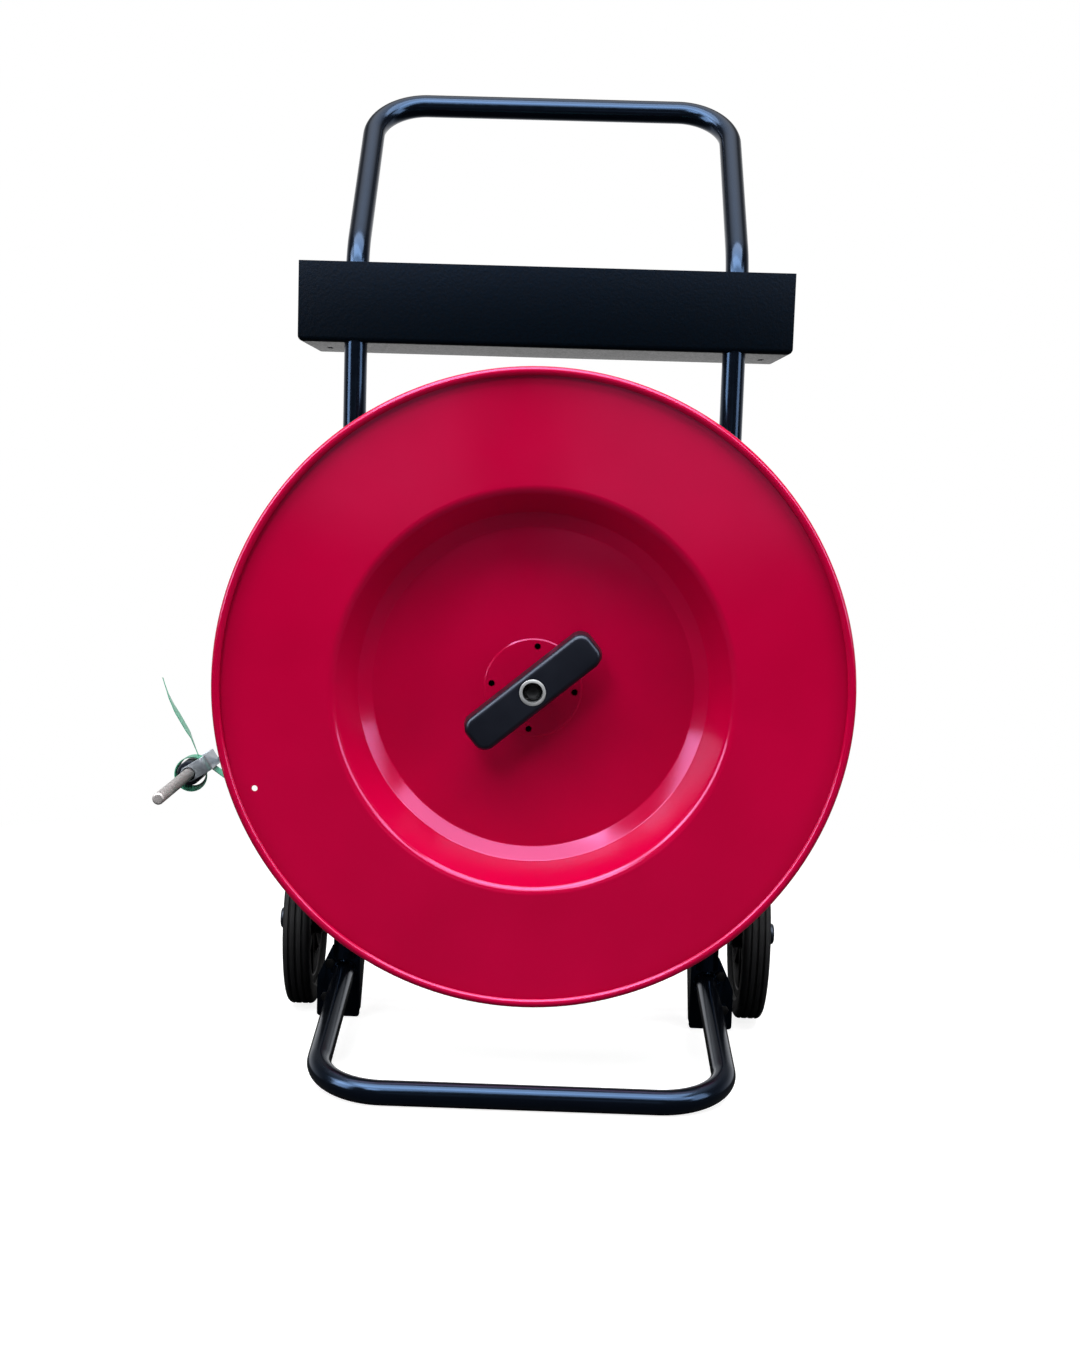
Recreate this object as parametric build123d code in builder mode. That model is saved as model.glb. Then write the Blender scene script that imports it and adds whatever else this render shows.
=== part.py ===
"""Strapping dispenser trolley: a dished reel on a bent-tube cart, with a tool tray, two wheels and a strap guide lever.

X runs to the right of someone facing the reel, Y runs away from them towards the uprights, and Z is up.
The origin is on the floor under the middle of the front foot bar. Every size is in millimetres.
"""

import os
from math import acos, atan2, cos, degrees, pi, radians, sin, sqrt, tan

from build123d import *

os.makedirs("parts", exist_ok=True)

# Tube frame
TUBE_D = 25.0  # outside diameter of every frame tube
TUBE_WALL = 2.0
UPRIGHT_X = 206.0  # middle plane to each upright's centreline
UPRIGHT_Y = 290.0  # foot bar to uprights, centre to centre
UPRIGHT_END_Z = 70.0  # lower end of each upright
HANDLE_BACK = 195.0  # how far the handle bar stands behind the uprights
HANDLE_Z = 1047.0
HANDLE_LEAN = 45.0  # degrees from the vertical above the knee
KNEE_R = 75.0
HANDLE_R = 40.0
FOOT_RISE = 8.0  # degrees that the side tubes climb towards the uprights
FOOT_R = 70.0

# Foot plates and axle brackets
PLATE_T = 4.0
PLATE_IN_X = 188.0  # inboard edge
PLATE_OUT_X = 236.5  # outboard edge at the bottom
PLATE_TOP_Z = 108.0
PLATE_LIFT = 3.0  # gap under the plate
PLATE_CORNER_R = 8.0
PLATE_HEEL = 14.0  # upright stretch of the outboard edge
PLATE_SLOPE = 24.0  # height over which the inboard edge runs up to the tube
BRACKET_T = 3.0
BOLT_D = 6.0
BOLT_PLACES = ((222.0, 63.0), (226.5, 24.0))  # X and Z of the two bolts on each side

# Wheels and axle
AXLE_D = 16.0
AXLE_BEHIND = 62.0  # axle behind the uprights
WHEEL_D = 196.0
WHEEL_X = 258.0  # middle plane to the middle of each wheel
TYRE_W = 30.0
TYRE_DEPTH = 23.0  # tread to rim seat
TREAD_GROOVES = 3
GROOVE_W = 2.6
GROOVE_DEPTH = 2.0
HUB_L = 38.0
HUB_R = 17.0
WHEEL_RIBS = 8
RIB_T = 3.0
WEB_T = 4.0
RIM_T = 10.0  # under the tyre
SLEEVE_WALL = 2.5  # plain bush in the hub
WASHER_T = 2.0
WASHER_D = 30.0
END_GAP = 0.4
CAP_L = 8.0
CAP_WALL = 4.0
RUN_GAP = 0.05  # radial clearance of every running fit

# Tool tray
TRAY_L = 536.0
TRAY_DEPTH = 175.0
TRAY_H = 86.0
TRAY_Z = 757.0  # underside
SHEET_T = 1.5
TRAY_BEND_R = 6.0
SLOT_L = 22.0  # drain slots in the floor
SLOT_W = 6.0
SLOT_INSET = 24.0  # slot to the tray's end
SADDLE_DROP = 68.0  # tray's top edge to the lower saddles
SADDLE_PITCH = 30.0
SADDLE_W = 16.0
SADDLE_T = 2.0
STUD_REACH = 22.0  # stud to the upright's centreline
STUD_D = 6.0
STUD_L = 14.0
NUT_W = 10.0  # across flats
NUT_T = 5.0

# Reel
REEL_Z = 405.0
DISC_D = 640.0
DISC_FRONT_Y = 60.0  # front of the front disc's rolled rim
DISC_SHEET = 1.5
RIM_CURL_D = 9.0
DISH_MOUTH_R = 199.7  # where the dish wall would meet the face with sharp corners
DISH_DEPTH = 49.0  # face to floor
DISH_WALL_ANGLE = 27.4  # degrees from the reel's axis
DISH_FLOOR_FILLET = 16.8
DISH_MOUTH_FILLET = 10.1
DISC_GAP = 153.0  # between the two faces
SCREW_PCD = 85.2
SCREW_TURN = -4.5  # degrees from X to the first hole
SCREW_HOLE_D = 6.6
EMBOSS_R = 49.5  # the floor is pressed outwards round the hub
EMBOSS = 0.8
HOOK_HOLE_D = 6.0
HOOK_HOLE_R = 295.0
HOOK_HOLE_ANGLE = 200.8

# Hub
HUB_TUBE_D = 26.9
HUB_TUBE_BORE = 20.5
HUB_FRONT_Y = 71.0
SPINDLE_D = 16.0
FLANGE_D = 104.0
FLANGE_T = 4.0
SLEEVE_D = 34.0
COLLAR_T = 5.0  # spindle shoulder
THRUST_T = 2.0  # thrust washer
BUSH_LEN = 26.0
NECK_L = 14.0  # the flange's neck along the hub tube
NECK_WALL = 4.5
SCREW_HEAD_D = 10.0
SCREW_HEAD_H = 3.5

# Clamp handle
CLAMP_L = 154.0
CLAMP_W = 37.0
CLAMP_T = 26.0
CLAMP_CORNER_R = 13.0
CLAMP_DRAFT = 5.0
CLAMP_ANGLE = 41.3
CLAMP_BOSS_D = 48.0

# Strap coil
COIL_BORE = 406.4
COIL_D = 570.0
COIL_W = 150.0
CORE_WALL = 3.0
COIL_GAP = 0.5  # coil to the strap that is leaving it

# Guide lever
ROD_D = 12.0
ROD_X = -365.0
ROD_Z = 293.0
ROD_FRONT_Y = 30.0
ARM_ANGLE = 32.0  # the arm climbs inboard at this angle
ARM_W = 17.0
ARM_T = 4.0
FORK_FRONT_Y = 182.0
FORK_REAR_Y = 238.0  # front face of the rear leg
WEB_AT = 20.5  # rod centre to the web's near face
FORK_BEND_R = 3.0  # inside the fork's front bend
ROLLER_D = 26.0
PIVOT_D = 10.0
BUSH_D = 22.0
BUSH_L = 52.0
PAD_GAP = 0.4  # brake pad to rim
PAD_DEPTH = 8.0
PAD_ARC = 28.0
PAD_W = 12.0
HOLDER_T = 3.0
ROD_NUT_T = 6.0
SPRING_REACH = 82.0  # arm's tail up to the lug
SPRING_R = 4.0  # to the middle of the wire
WIRE_D = 1.6
SPRING_TURNS = 9
LUG_ROOT = 28.0
LUG_TIP = 10.0
LUG_T = 3.0
SPRING_PITCH = 5.5

# Strap
STRAP_W = 16.0
STRAP_T = 0.9
LOOP_R = 18.2  # to the middle of the strap
STRAP_GAP = 0.35  # strap to roller, where the loop touches it
STRAP_PITCH = 17.0  # between the strap's two passes of the roller
STRAP_REAR_Y = 220.3
TAIL_ANGLE = 117.1  # the free end leaves the loop in this direction
TAIL_RUN = 62.0
TAIL_BEND_R = 260.0
TAIL_TURN = 9.0

# Places worked out from the sizes above
TUBE_R = TUBE_D / 2
FOOT_Z = TUBE_R
AXLE_Y = UPRIGHT_Y + AXLE_BEHIND
AXLE_Z = WHEEL_D / 2
KNEE_Z = HANDLE_Z - HANDLE_BACK / tan(radians(HANDLE_LEAN))
TRAY_Y = UPRIGHT_Y - TUBE_R - SHEET_T
DISC_R = DISC_D / 2
CURL_R = RIM_CURL_D / 2
FRONT_FACE_Y = DISC_FRONT_Y + RIM_CURL_D  # inner side of the front disc's face
REAR_FACE_Y = FRONT_FACE_Y + DISC_GAP
REAR_RIM_Y = REAR_FACE_Y + RIM_CURL_D
FRONT_FLOOR_Y = FRONT_FACE_Y + DISH_DEPTH  # inner side of the front dish floor
REAR_FLOOR_Y = REAR_FACE_Y - DISH_DEPTH
FLANGE_Y = REAR_FLOOR_Y + EMBOSS + DISC_SHEET
HUB_TUBE_R = HUB_TUBE_D / 2
HUB_REAR_Y = UPRIGHT_Y - TUBE_R - THRUST_T - COLLAR_T - 4.0
REEL_AXIS = Axis((0, 0, REEL_Z), (0, 1, 0))
ARM_DIR = Vector(cos(radians(ARM_ANGLE)), 0, sin(radians(ARM_ANGLE)))
PIVOT_X = -(UPRIGHT_X + TUBE_R + BUSH_D / 2 - 1.5)
ARM_REACH = (PIVOT_X - ROD_X) / ARM_DIR.X
PIVOT_Z = ROD_Z + ARM_REACH * ARM_DIR.Z
SIDES = (("left", -1), ("right", 1))
FULL_TURN = 360


def save(part, name):
    """Labels a finished piece and writes it as its own file."""
    part.label = name
    export_step(part, f"parts/{name}.step")


def facing(y):
    """The plane across the reel's axis at depth y, seen from the front: sketch X is X and sketch Y is Z."""
    return Plane.XZ.offset(-y)


def across(x):
    """The plane across the axle at x: sketch X is Y and sketch Y is Z."""
    return Plane.YZ.offset(x)


def side_tube_z(y):
    """Height of the foot loop's centreline at depth y."""
    return FOOT_Z + y * tan(radians(FOOT_RISE))


# ---------------------------------------------------------------- tube frame

with BuildPart() as upper_bow:
    with BuildLine() as bow_line:
        FilletPolyline(
            (-UPRIGHT_X, UPRIGHT_Y, UPRIGHT_END_Z),
            (-UPRIGHT_X, UPRIGHT_Y, KNEE_Z),
            (-UPRIGHT_X, UPRIGHT_Y + HANDLE_BACK, HANDLE_Z),
            (UPRIGHT_X, UPRIGHT_Y + HANDLE_BACK, HANDLE_Z),
            (UPRIGHT_X, UPRIGHT_Y, KNEE_Z),
            (UPRIGHT_X, UPRIGHT_Y, UPRIGHT_END_Z),
            radius=[KNEE_R, HANDLE_R, HANDLE_R, KNEE_R],
        )
    with BuildSketch(Plane(bow_line.line @ 0, z_dir=bow_line.line % 0)):
        Circle(TUBE_R)
        Circle(TUBE_R - TUBE_WALL, mode=Mode.SUBTRACT)
    sweep()
save(upper_bow.part, "upper_bow")

with BuildPart() as foot_loop:
    loop_end_y = UPRIGHT_Y + TUBE_R
    with BuildLine() as loop_line:
        FilletPolyline(
            (-UPRIGHT_X, loop_end_y, side_tube_z(loop_end_y)),
            (-UPRIGHT_X, 0, FOOT_Z),
            (UPRIGHT_X, 0, FOOT_Z),
            (UPRIGHT_X, loop_end_y, side_tube_z(loop_end_y)),
            radius=FOOT_R,
        )
    with BuildSketch(Plane(loop_line.line @ 0, z_dir=loop_line.line % 0)):
        Circle(TUBE_R)
        Circle(TUBE_R - TUBE_WALL, mode=Mode.SUBTRACT)
    sweep()
    # Cut square against the front of the foot plates.
    split(bisect_by=facing(UPRIGHT_Y - PLATE_T / 2), keep=Keep.TOP)
save(foot_loop.part, "foot_loop")


def foot_plate(side):
    """A pressed plate slotted over an upright's lower end, wider at the bottom, with the side tube butted to it."""
    tube_in = UPRIGHT_X - TUBE_R
    tube_out = UPRIGHT_X + TUBE_R
    outline = [
        (PLATE_IN_X, PLATE_LIFT),
        (PLATE_OUT_X - 1, PLATE_LIFT),
        (PLATE_OUT_X, PLATE_LIFT + PLATE_HEEL),
        (tube_out + 2.5, PLATE_TOP_Z),
        (tube_out, PLATE_TOP_Z),
        (tube_out, UPRIGHT_END_Z),
        (tube_in, UPRIGHT_END_Z),
        (tube_in, PLATE_TOP_Z),
        (tube_in - 2.5, PLATE_TOP_Z),
        (PLATE_IN_X, PLATE_TOP_Z - PLATE_SLOPE),
    ]
    with BuildPart() as plate:
        with BuildSketch(facing(UPRIGHT_Y + PLATE_T / 2)) as face:
            with BuildLine():
                Polyline([(side * x, z) for x, z in outline], close=True)
            make_face()
            fillet(face.vertices().group_by(Axis.Y)[0], PLATE_CORNER_R)
            with Locations([(side * x, z) for x, z in BOLT_PLACES]):
                Circle(BOLT_D / 2 + 0.3, mode=Mode.SUBTRACT)
        extrude(amount=PLATE_T)
    return plate.part


def axle_bracket(side):
    """A pressed angle bolted behind the foot plate, whose flange reaches back to carry the axle."""
    web_y = UPRIGHT_Y + PLATE_T / 2
    web_top = UPRIGHT_END_Z - 3
    web_bottom = PLATE_LIFT + 4
    out_x = PLATE_OUT_X - 3.5
    ear_in = UPRIGHT_X + TUBE_R + 1
    with BuildPart() as bracket:
        with BuildSketch(facing(web_y + BRACKET_T)) as web:
            with BuildLine():
                Polyline(
                    [
                        (side * PLATE_IN_X, web_bottom),
                        (side * out_x, web_bottom),
                        (side * out_x, web_bottom + PLATE_HEEL),
                        (side * (out_x - 6), web_top + 12),
                        (side * ear_in, web_top + 12),
                        (side * ear_in, web_top),
                        (side * PLATE_IN_X, web_top),
                    ],
                    close=True,
                )
            make_face()
            with Locations([(side * x, z) for x, z in BOLT_PLACES]):
                Circle(BOLT_D / 2 + 0.3, mode=Mode.SUBTRACT)
        extrude(amount=BRACKET_T)
        with BuildSketch(across(side * PLATE_IN_X)) as flange:
            with BuildLine():
                Polyline(
                    [
                        (web_y, web_bottom),
                        (web_y, web_top),
                        (AXLE_Y - 15, AXLE_Z + 13),
                        (AXLE_Y + 16, AXLE_Z - 12),
                        (web_y + PLATE_HEEL, web_bottom),
                    ],
                    close=True,
                )
            make_face()
            with Locations((AXLE_Y, AXLE_Z)):
                Circle(20)
                Circle(AXLE_D / 2 + RUN_GAP, mode=Mode.SUBTRACT)
        extrude(amount=side * BRACKET_T)
    return bracket.part


def hex_bolt(face_y, x, z, grip, size):
    """A hexagon bolt whose head sits on the plane at depth face_y, with its nut at the far side of the grip."""
    with BuildSketch(facing(face_y)) as head:
        with Locations((x, z)):
            RegularPolygon(size * 0.83, 6, major_radius=False)
    extrude(head.sketch, amount=size * 0.65)
    with BuildSketch(facing(face_y)) as shank:
        with Locations((x, z)):
            Circle(size / 2)
    extrude(shank.sketch, amount=-(grip + size * 1.1))
    with BuildSketch(facing(face_y + grip)) as nut:
        with Locations((x, z)):
            RegularPolygon(size * 0.83, 6, major_radius=False)
    extrude(nut.sketch, amount=-size * 0.8)


for side_name, side in SIDES:
    save(foot_plate(side), f"foot_plate_{side_name}")
    save(axle_bracket(side), f"axle_bracket_{side_name}")

with BuildPart() as bracket_bolts:
    for _, side in SIDES:
        for bolt_x, bolt_z in BOLT_PLACES:
            hex_bolt(UPRIGHT_Y - PLATE_T / 2, side * bolt_x, bolt_z, PLATE_T + BRACKET_T, BOLT_D)
save(bracket_bolts.part, "bracket_bolts")

with BuildPart() as crossmember:
    with BuildSketch(Plane.YZ):
        with Locations((UPRIGHT_Y, REEL_Z)):
            Circle(TUBE_R)
            Circle(TUBE_R - TUBE_WALL, mode=Mode.SUBTRACT)
    extrude(amount=UPRIGHT_X, both=True)
    # Coped to seat on the round uprights, and pierced for the spindle.
    with Locations((-UPRIGHT_X, UPRIGHT_Y, REEL_Z), (UPRIGHT_X, UPRIGHT_Y, REEL_Z)):
        Cylinder(TUBE_R, 3 * TUBE_D, mode=Mode.SUBTRACT)
    with BuildSketch(facing(UPRIGHT_Y + TUBE_D)):
        with Locations((0, REEL_Z)):
            Circle(SPINDLE_D / 2)
    extrude(amount=2 * TUBE_D, mode=Mode.SUBTRACT)
save(crossmember.part, "crossmember")

# ---------------------------------------------------------------- axle and wheels

HUB_IN_X = WHEEL_X - HUB_L / 2
HUB_OUT_X = WHEEL_X + HUB_L / 2
AXLE_END_X = HUB_OUT_X + END_GAP + WASHER_T + CAP_L - 3


def ring_along_x(x, length, outer, bore):
    """A ring or tube on the axle, from x towards larger x."""
    with BuildSketch(across(x)) as ring:
        with Locations((AXLE_Y, AXLE_Z)):
            Circle(outer / 2)
            if bore:
                Circle(bore / 2, mode=Mode.SUBTRACT)
    extrude(ring.sketch, amount=length)


with BuildPart() as axle:
    ring_along_x(-AXLE_END_X, 2 * AXLE_END_X, AXLE_D, 0)
    chamfer(axle.edges().filter_by(GeomType.CIRCLE), 1)
save(axle.part, "axle")

AXLE_BORE = AXLE_D + 2 * RUN_GAP
SPACER_L = HUB_IN_X - END_GAP - WASHER_T - PLATE_IN_X - BRACKET_T
with BuildPart() as axle_spacers:
    ring_along_x(PLATE_IN_X + BRACKET_T, SPACER_L, AXLE_D + 6, AXLE_BORE)
    mirror(about=Plane.YZ)
save(axle_spacers.part, "axle_spacers")

with BuildPart() as axle_collars:
    ring_along_x(PLATE_IN_X - 10, 10, AXLE_D + 12, AXLE_BORE)
    mirror(about=Plane.YZ)
save(axle_collars.part, "axle_collars")

with BuildPart() as axle_washers:
    ring_along_x(HUB_IN_X - END_GAP - WASHER_T, WASHER_T, WASHER_D, AXLE_BORE)
    ring_along_x(HUB_OUT_X + END_GAP, WASHER_T, WASHER_D, AXLE_BORE)
    mirror(about=Plane.YZ)
save(axle_washers.part, "axle_washers")

with BuildPart() as axle_caps:
    cap_x = HUB_OUT_X + END_GAP + WASHER_T
    ring_along_x(cap_x, CAP_L, AXLE_D + 2 * CAP_WALL, 0)
    fillet(axle_caps.faces().sort_by(Axis.X)[-1].edges(), 3)
    bore_depth = AXLE_END_X - cap_x
    with BuildSketch(across(cap_x)):
        with Locations((AXLE_Y, AXLE_Z)):
            Circle(AXLE_BORE / 2)
    extrude(amount=bore_depth, mode=Mode.SUBTRACT)
    mirror(about=Plane.YZ)
save(axle_caps.part, "axle_caps")

RIM_R = WHEEL_D / 2 - TYRE_DEPTH
RIM_SEAT_W = TYRE_W - 8


def tyre(side):
    """A solid rubber tyre with rounded shoulders and running grooves."""
    wheel_axis = Axis((side * WHEEL_X, AXLE_Y, AXLE_Z), (1, 0, 0))
    tread_r = WHEEL_D / 2
    with BuildPart() as body:
        with BuildSketch(Plane((side * WHEEL_X, AXLE_Y, AXLE_Z))) as section:
            with Locations((0, tread_r - TYRE_DEPTH / 2)):
                Rectangle(TYRE_W, TYRE_DEPTH)
            fillet(section.vertices().group_by(Axis.Y)[-1], 6)
            chamfer(section.vertices().group_by(Axis.Y)[0], 3)
            with Locations((0, tread_r)):
                with GridLocations(TYRE_W / (TREAD_GROOVES + 1), 1, TREAD_GROOVES, 1):
                    Rectangle(GROOVE_W, 2 * GROOVE_DEPTH, mode=Mode.SUBTRACT)
        revolve(axis=wheel_axis)
    return body.part


def wheel_rim(side):
    """A moulded wheel centre: a rim under the tyre, a thin web with ribs on both faces, and a long hub."""
    centre = (side * WHEEL_X, AXLE_Y, AXLE_Z)
    sleeve_r = AXLE_D / 2 + SLEEVE_WALL
    with BuildPart() as rim:
        with BuildSketch(Plane(centre)) as section:
            with Locations((0, RIM_R - RIM_T / 2)):
                Rectangle(RIM_SEAT_W, RIM_T)
            with Locations((0, RIM_R / 2)):
                Rectangle(WEB_T, RIM_R)
            with Locations((0, (HUB_R + sleeve_r) / 2)):
                Rectangle(HUB_L, HUB_R - sleeve_r)
            with Locations((0, sleeve_r / 2)):
                Rectangle(HUB_L + 2, sleeve_r, mode=Mode.SUBTRACT)
        revolve(axis=Axis(centre, (1, 0, 0)))
        with BuildSketch(Plane(centre, x_dir=(0, 1, 0), z_dir=(1, 0, 0))):
            with PolarLocations((HUB_R + RIM_R - RIM_T) / 2, WHEEL_RIBS):
                Rectangle(RIM_R - RIM_T - HUB_R + 4, RIB_T)
        extrude(amount=RIM_SEAT_W / 2 - 2, both=True)
    return rim.part


def wheel_sleeve(side):
    """A plain bush moulded into the wheel's hub, running on the axle."""
    with BuildPart() as sleeve:
        ring_along_x(side * WHEEL_X - HUB_L / 2, HUB_L, AXLE_D + 2 * SLEEVE_WALL, AXLE_BORE)
    return sleeve.part


for side_name, side in SIDES:
    save(tyre(side), f"tyre_{side_name}")
    save(wheel_rim(side), f"wheel_rim_{side_name}")
    save(wheel_sleeve(side), f"wheel_sleeve_{side_name}")

# ---------------------------------------------------------------- tool tray

SADDLE_Z = (TRAY_Z + TRAY_H - SADDLE_DROP, TRAY_Z + TRAY_H - SADDLE_DROP + SADDLE_PITCH)
WALL_BACK_Y = TRAY_Y + SHEET_T

with BuildPart() as tool_tray:
    with BuildSketch(Plane.XY.offset(TRAY_Z)):
        with Locations((0, TRAY_Y + TRAY_DEPTH / 2)):
            Rectangle(TRAY_L, TRAY_DEPTH)
    extrude(amount=TRAY_H)
    fillet(tool_tray.faces().sort_by(Axis.Z)[0].edges(), TRAY_BEND_R)
    offset(amount=-SHEET_T, openings=tool_tray.faces().sort_by(Axis.Z)[-1])
    # The uprights pass through the floor behind the front wall, and two slots let swarf and water out.
    with BuildSketch(Plane.XY.offset(TRAY_Z)):
        with Locations((-UPRIGHT_X, UPRIGHT_Y), (UPRIGHT_X, UPRIGHT_Y)):
            Circle(TUBE_R + 0.8)
        with GridLocations(TRAY_L - 2 * SLOT_INSET, 1, 2, 1):
            with Locations((0, TRAY_Y + TRAY_DEPTH * 0.55)):
                SlotOverall(SLOT_L, SLOT_W, rotation=90)
    extrude(amount=TRAY_BEND_R, mode=Mode.SUBTRACT)
    # Weld studs on the back of the front wall.
    with BuildSketch(facing(WALL_BACK_Y)):
        for _, side in SIDES:
            for z in SADDLE_Z:
                with Locations((side * UPRIGHT_X, z)):
                    with GridLocations(2 * STUD_REACH, 1, 2, 1):
                        Circle(STUD_D / 2)
    extrude(amount=-STUD_L)
save(tool_tray.part, "tool_tray")

with BuildPart() as tray_saddles:
    for _, side in SIDES:
        for z in SADDLE_Z:
            with BuildSketch(Plane.XY.offset(z - SADDLE_W / 2)):
                with Locations((side * UPRIGHT_X, UPRIGHT_Y)):
                    Circle(TUBE_R + SADDLE_T)
                    with Locations((0, -TUBE_R + SADDLE_T / 2)):
                        Rectangle(2 * STUD_REACH + SADDLE_W, SADDLE_T)
                    with Locations((0, -TUBE_R - SADDLE_T)):
                        Rectangle(3 * TUBE_D, 2 * SADDLE_T, mode=Mode.SUBTRACT)
                        Rectangle(0.6 * TUBE_D, 5 * SADDLE_T, mode=Mode.SUBTRACT)
                    Circle(TUBE_R, mode=Mode.SUBTRACT)
            extrude(amount=SADDLE_W)
            with BuildSketch(facing(WALL_BACK_Y)):
                with Locations((side * UPRIGHT_X, z)):
                    with GridLocations(2 * STUD_REACH, 1, 2, 1):
                        Circle(STUD_D / 2 + 0.3)
            extrude(amount=-2 * SADDLE_T, mode=Mode.SUBTRACT)
save(tray_saddles.part, "tray_saddles")

with BuildPart() as tray_nuts:
    for _, side in SIDES:
        for z in SADDLE_Z:
            with BuildSketch(facing(WALL_BACK_Y + SADDLE_T)):
                with Locations((side * UPRIGHT_X, z)):
                    with GridLocations(2 * STUD_REACH, 1, 2, 1):
                        RegularPolygon(NUT_W / 2, 6, major_radius=False)
                        Circle(STUD_D / 2, mode=Mode.SUBTRACT)
            extrude(amount=-NUT_T)
save(tray_nuts.part, "tray_nuts")

# ---------------------------------------------------------------- reel


def disc(rim_y, inward):
    """One pressed disc. rim_y is its rolled rim's outer side and inward is +1 where its dish sinks towards +Y."""

    def at(r, depth):
        return (r, rim_y + inward * depth)

    # The rolled rim, the flat face, the dish wall and the floor, along the sheet's middle.
    half = DISC_SHEET / 2
    face = RIM_CURL_D - half
    floor = face + DISH_DEPTH
    curl_mid = CURL_R - half
    curl_r = DISC_R - CURL_R
    floor_corner_r = DISH_MOUTH_R - DISH_DEPTH * tan(radians(DISH_WALL_ANGLE))
    bore_r = HUB_TUBE_R + 0.15
    with BuildPart() as pressing:
        with BuildSketch(Plane.XY.offset(REEL_Z)):
            with BuildLine() as sheet_line:
                dish = FilletPolyline(
                    at(bore_r, floor - EMBOSS),
                    at(EMBOSS_R - EMBOSS, floor - EMBOSS),
                    at(EMBOSS_R + EMBOSS, floor),
                    at(floor_corner_r, floor),
                    at(DISH_MOUTH_R, face),
                    at(curl_r, face),
                    radius=[DISC_SHEET, DISC_SHEET, DISH_FLOOR_FILLET, DISH_MOUTH_FILLET],
                )
                top = at(curl_r, CURL_R - curl_mid)
                ThreePointArc(dish @ 1, at(curl_r + curl_mid, CURL_R), top)
                lip = radians(250)
                ThreePointArc(
                    top,
                    at(curl_r - curl_mid * sin(radians(45)), CURL_R - curl_mid * cos(radians(45))),
                    at(curl_r + curl_mid * sin(lip), CURL_R - curl_mid * cos(lip)),
                )
            trace(sheet_line.line, DISC_SHEET)
        revolve(axis=REEL_AXIS)
        with BuildSketch(facing(rim_y + inward * floor)):
            with Locations((0, REEL_Z)):
                with PolarLocations(SCREW_PCD / 2, 4, start_angle=SCREW_TURN):
                    Circle(SCREW_HOLE_D / 2)
        extrude(amount=3 * DISC_SHEET, both=True, mode=Mode.SUBTRACT)
        hook = radians(HOOK_HOLE_ANGLE)
        with BuildSketch(facing(rim_y + inward * face)):
            with Locations((HOOK_HOLE_R * cos(hook), REEL_Z + HOOK_HOLE_R * sin(hook))):
                Circle(HOOK_HOLE_D / 2)
        extrude(amount=2 * DISC_SHEET, both=True, mode=Mode.SUBTRACT)
    return pressing.part


save(disc(DISC_FRONT_Y, 1), "front_disc")
save(disc(REAR_RIM_Y, -1), "rear_disc")


def ring_along_y(y, length, outer, bore):
    """A ring or tube on the reel's axis, from depth y away from the front."""
    with BuildSketch(facing(y)) as ring:
        with Locations((0, REEL_Z)):
            Circle(outer / 2)
            if bore:
                Circle(bore / 2, mode=Mode.SUBTRACT)
    extrude(ring.sketch, amount=-length)


SPINDLE_FRONT_Y = HUB_FRONT_Y + 20

with BuildPart() as spindle:
    ring_along_y(SPINDLE_FRONT_Y, UPRIGHT_Y + TUBE_R + 3 - SPINDLE_FRONT_Y, SPINDLE_D, 0)
    ring_along_y(HUB_REAR_Y + THRUST_T, COLLAR_T, HUB_TUBE_D + 6, 0)
save(spindle.part, "spindle")

with BuildPart() as thrust_washer:
    ring_along_y(HUB_REAR_Y + 0.2, THRUST_T - 0.2, HUB_TUBE_D + 5, SPINDLE_D + 0.4)
save(thrust_washer.part, "thrust_washer")

with BuildPart() as spindle_washer:
    ring_along_y(SPINDLE_FRONT_Y - 2.5, 2.5, HUB_TUBE_BORE - 0.8, 8.4)
save(spindle_washer.part, "spindle_washer")

with BuildPart() as spindle_screw:
    with BuildSketch(facing(SPINDLE_FRONT_Y - 2.5)):
        with Locations((0, REEL_Z)):
            RegularPolygon(6.5, 6, major_radius=False)
    extrude(amount=5.5)
    ring_along_y(SPINDLE_FRONT_Y - 2.5, 2.5, 8, 0)
save(spindle_screw.part, "spindle_screw")

with BuildPart() as hub_tube:
    ring_along_y(HUB_FRONT_Y, HUB_REAR_Y - HUB_FRONT_Y, HUB_TUBE_D, HUB_TUBE_BORE)
    chamfer(hub_tube.faces().sort_by(Axis.Y)[0].edges(), 0.8)
save(hub_tube.part, "hub_tube")

for bush_name, bush_y in (
    ("hub_bush_front", SPINDLE_FRONT_Y + 0.3),
    ("hub_bush_rear", HUB_REAR_Y - BUSH_LEN),
):
    with BuildPart() as bush:
        ring_along_y(bush_y, BUSH_LEN, HUB_TUBE_BORE, SPINDLE_D + 2 * RUN_GAP)
    save(bush.part, bush_name)

with BuildPart() as hub_flange:
    ring_along_y(FLANGE_Y, FLANGE_T, FLANGE_D, HUB_TUBE_D)
    ring_along_y(FLANGE_Y + FLANGE_T, NECK_L, HUB_TUBE_D + 2 * NECK_WALL, HUB_TUBE_D)
    with BuildSketch(facing(FLANGE_Y)):
        with Locations((0, REEL_Z)):
            with PolarLocations(SCREW_PCD / 2, 4, start_angle=SCREW_TURN):
                Circle(BOLT_D / 2)
    extrude(amount=-FLANGE_T, mode=Mode.SUBTRACT)
save(hub_flange.part, "hub_flange")

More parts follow.
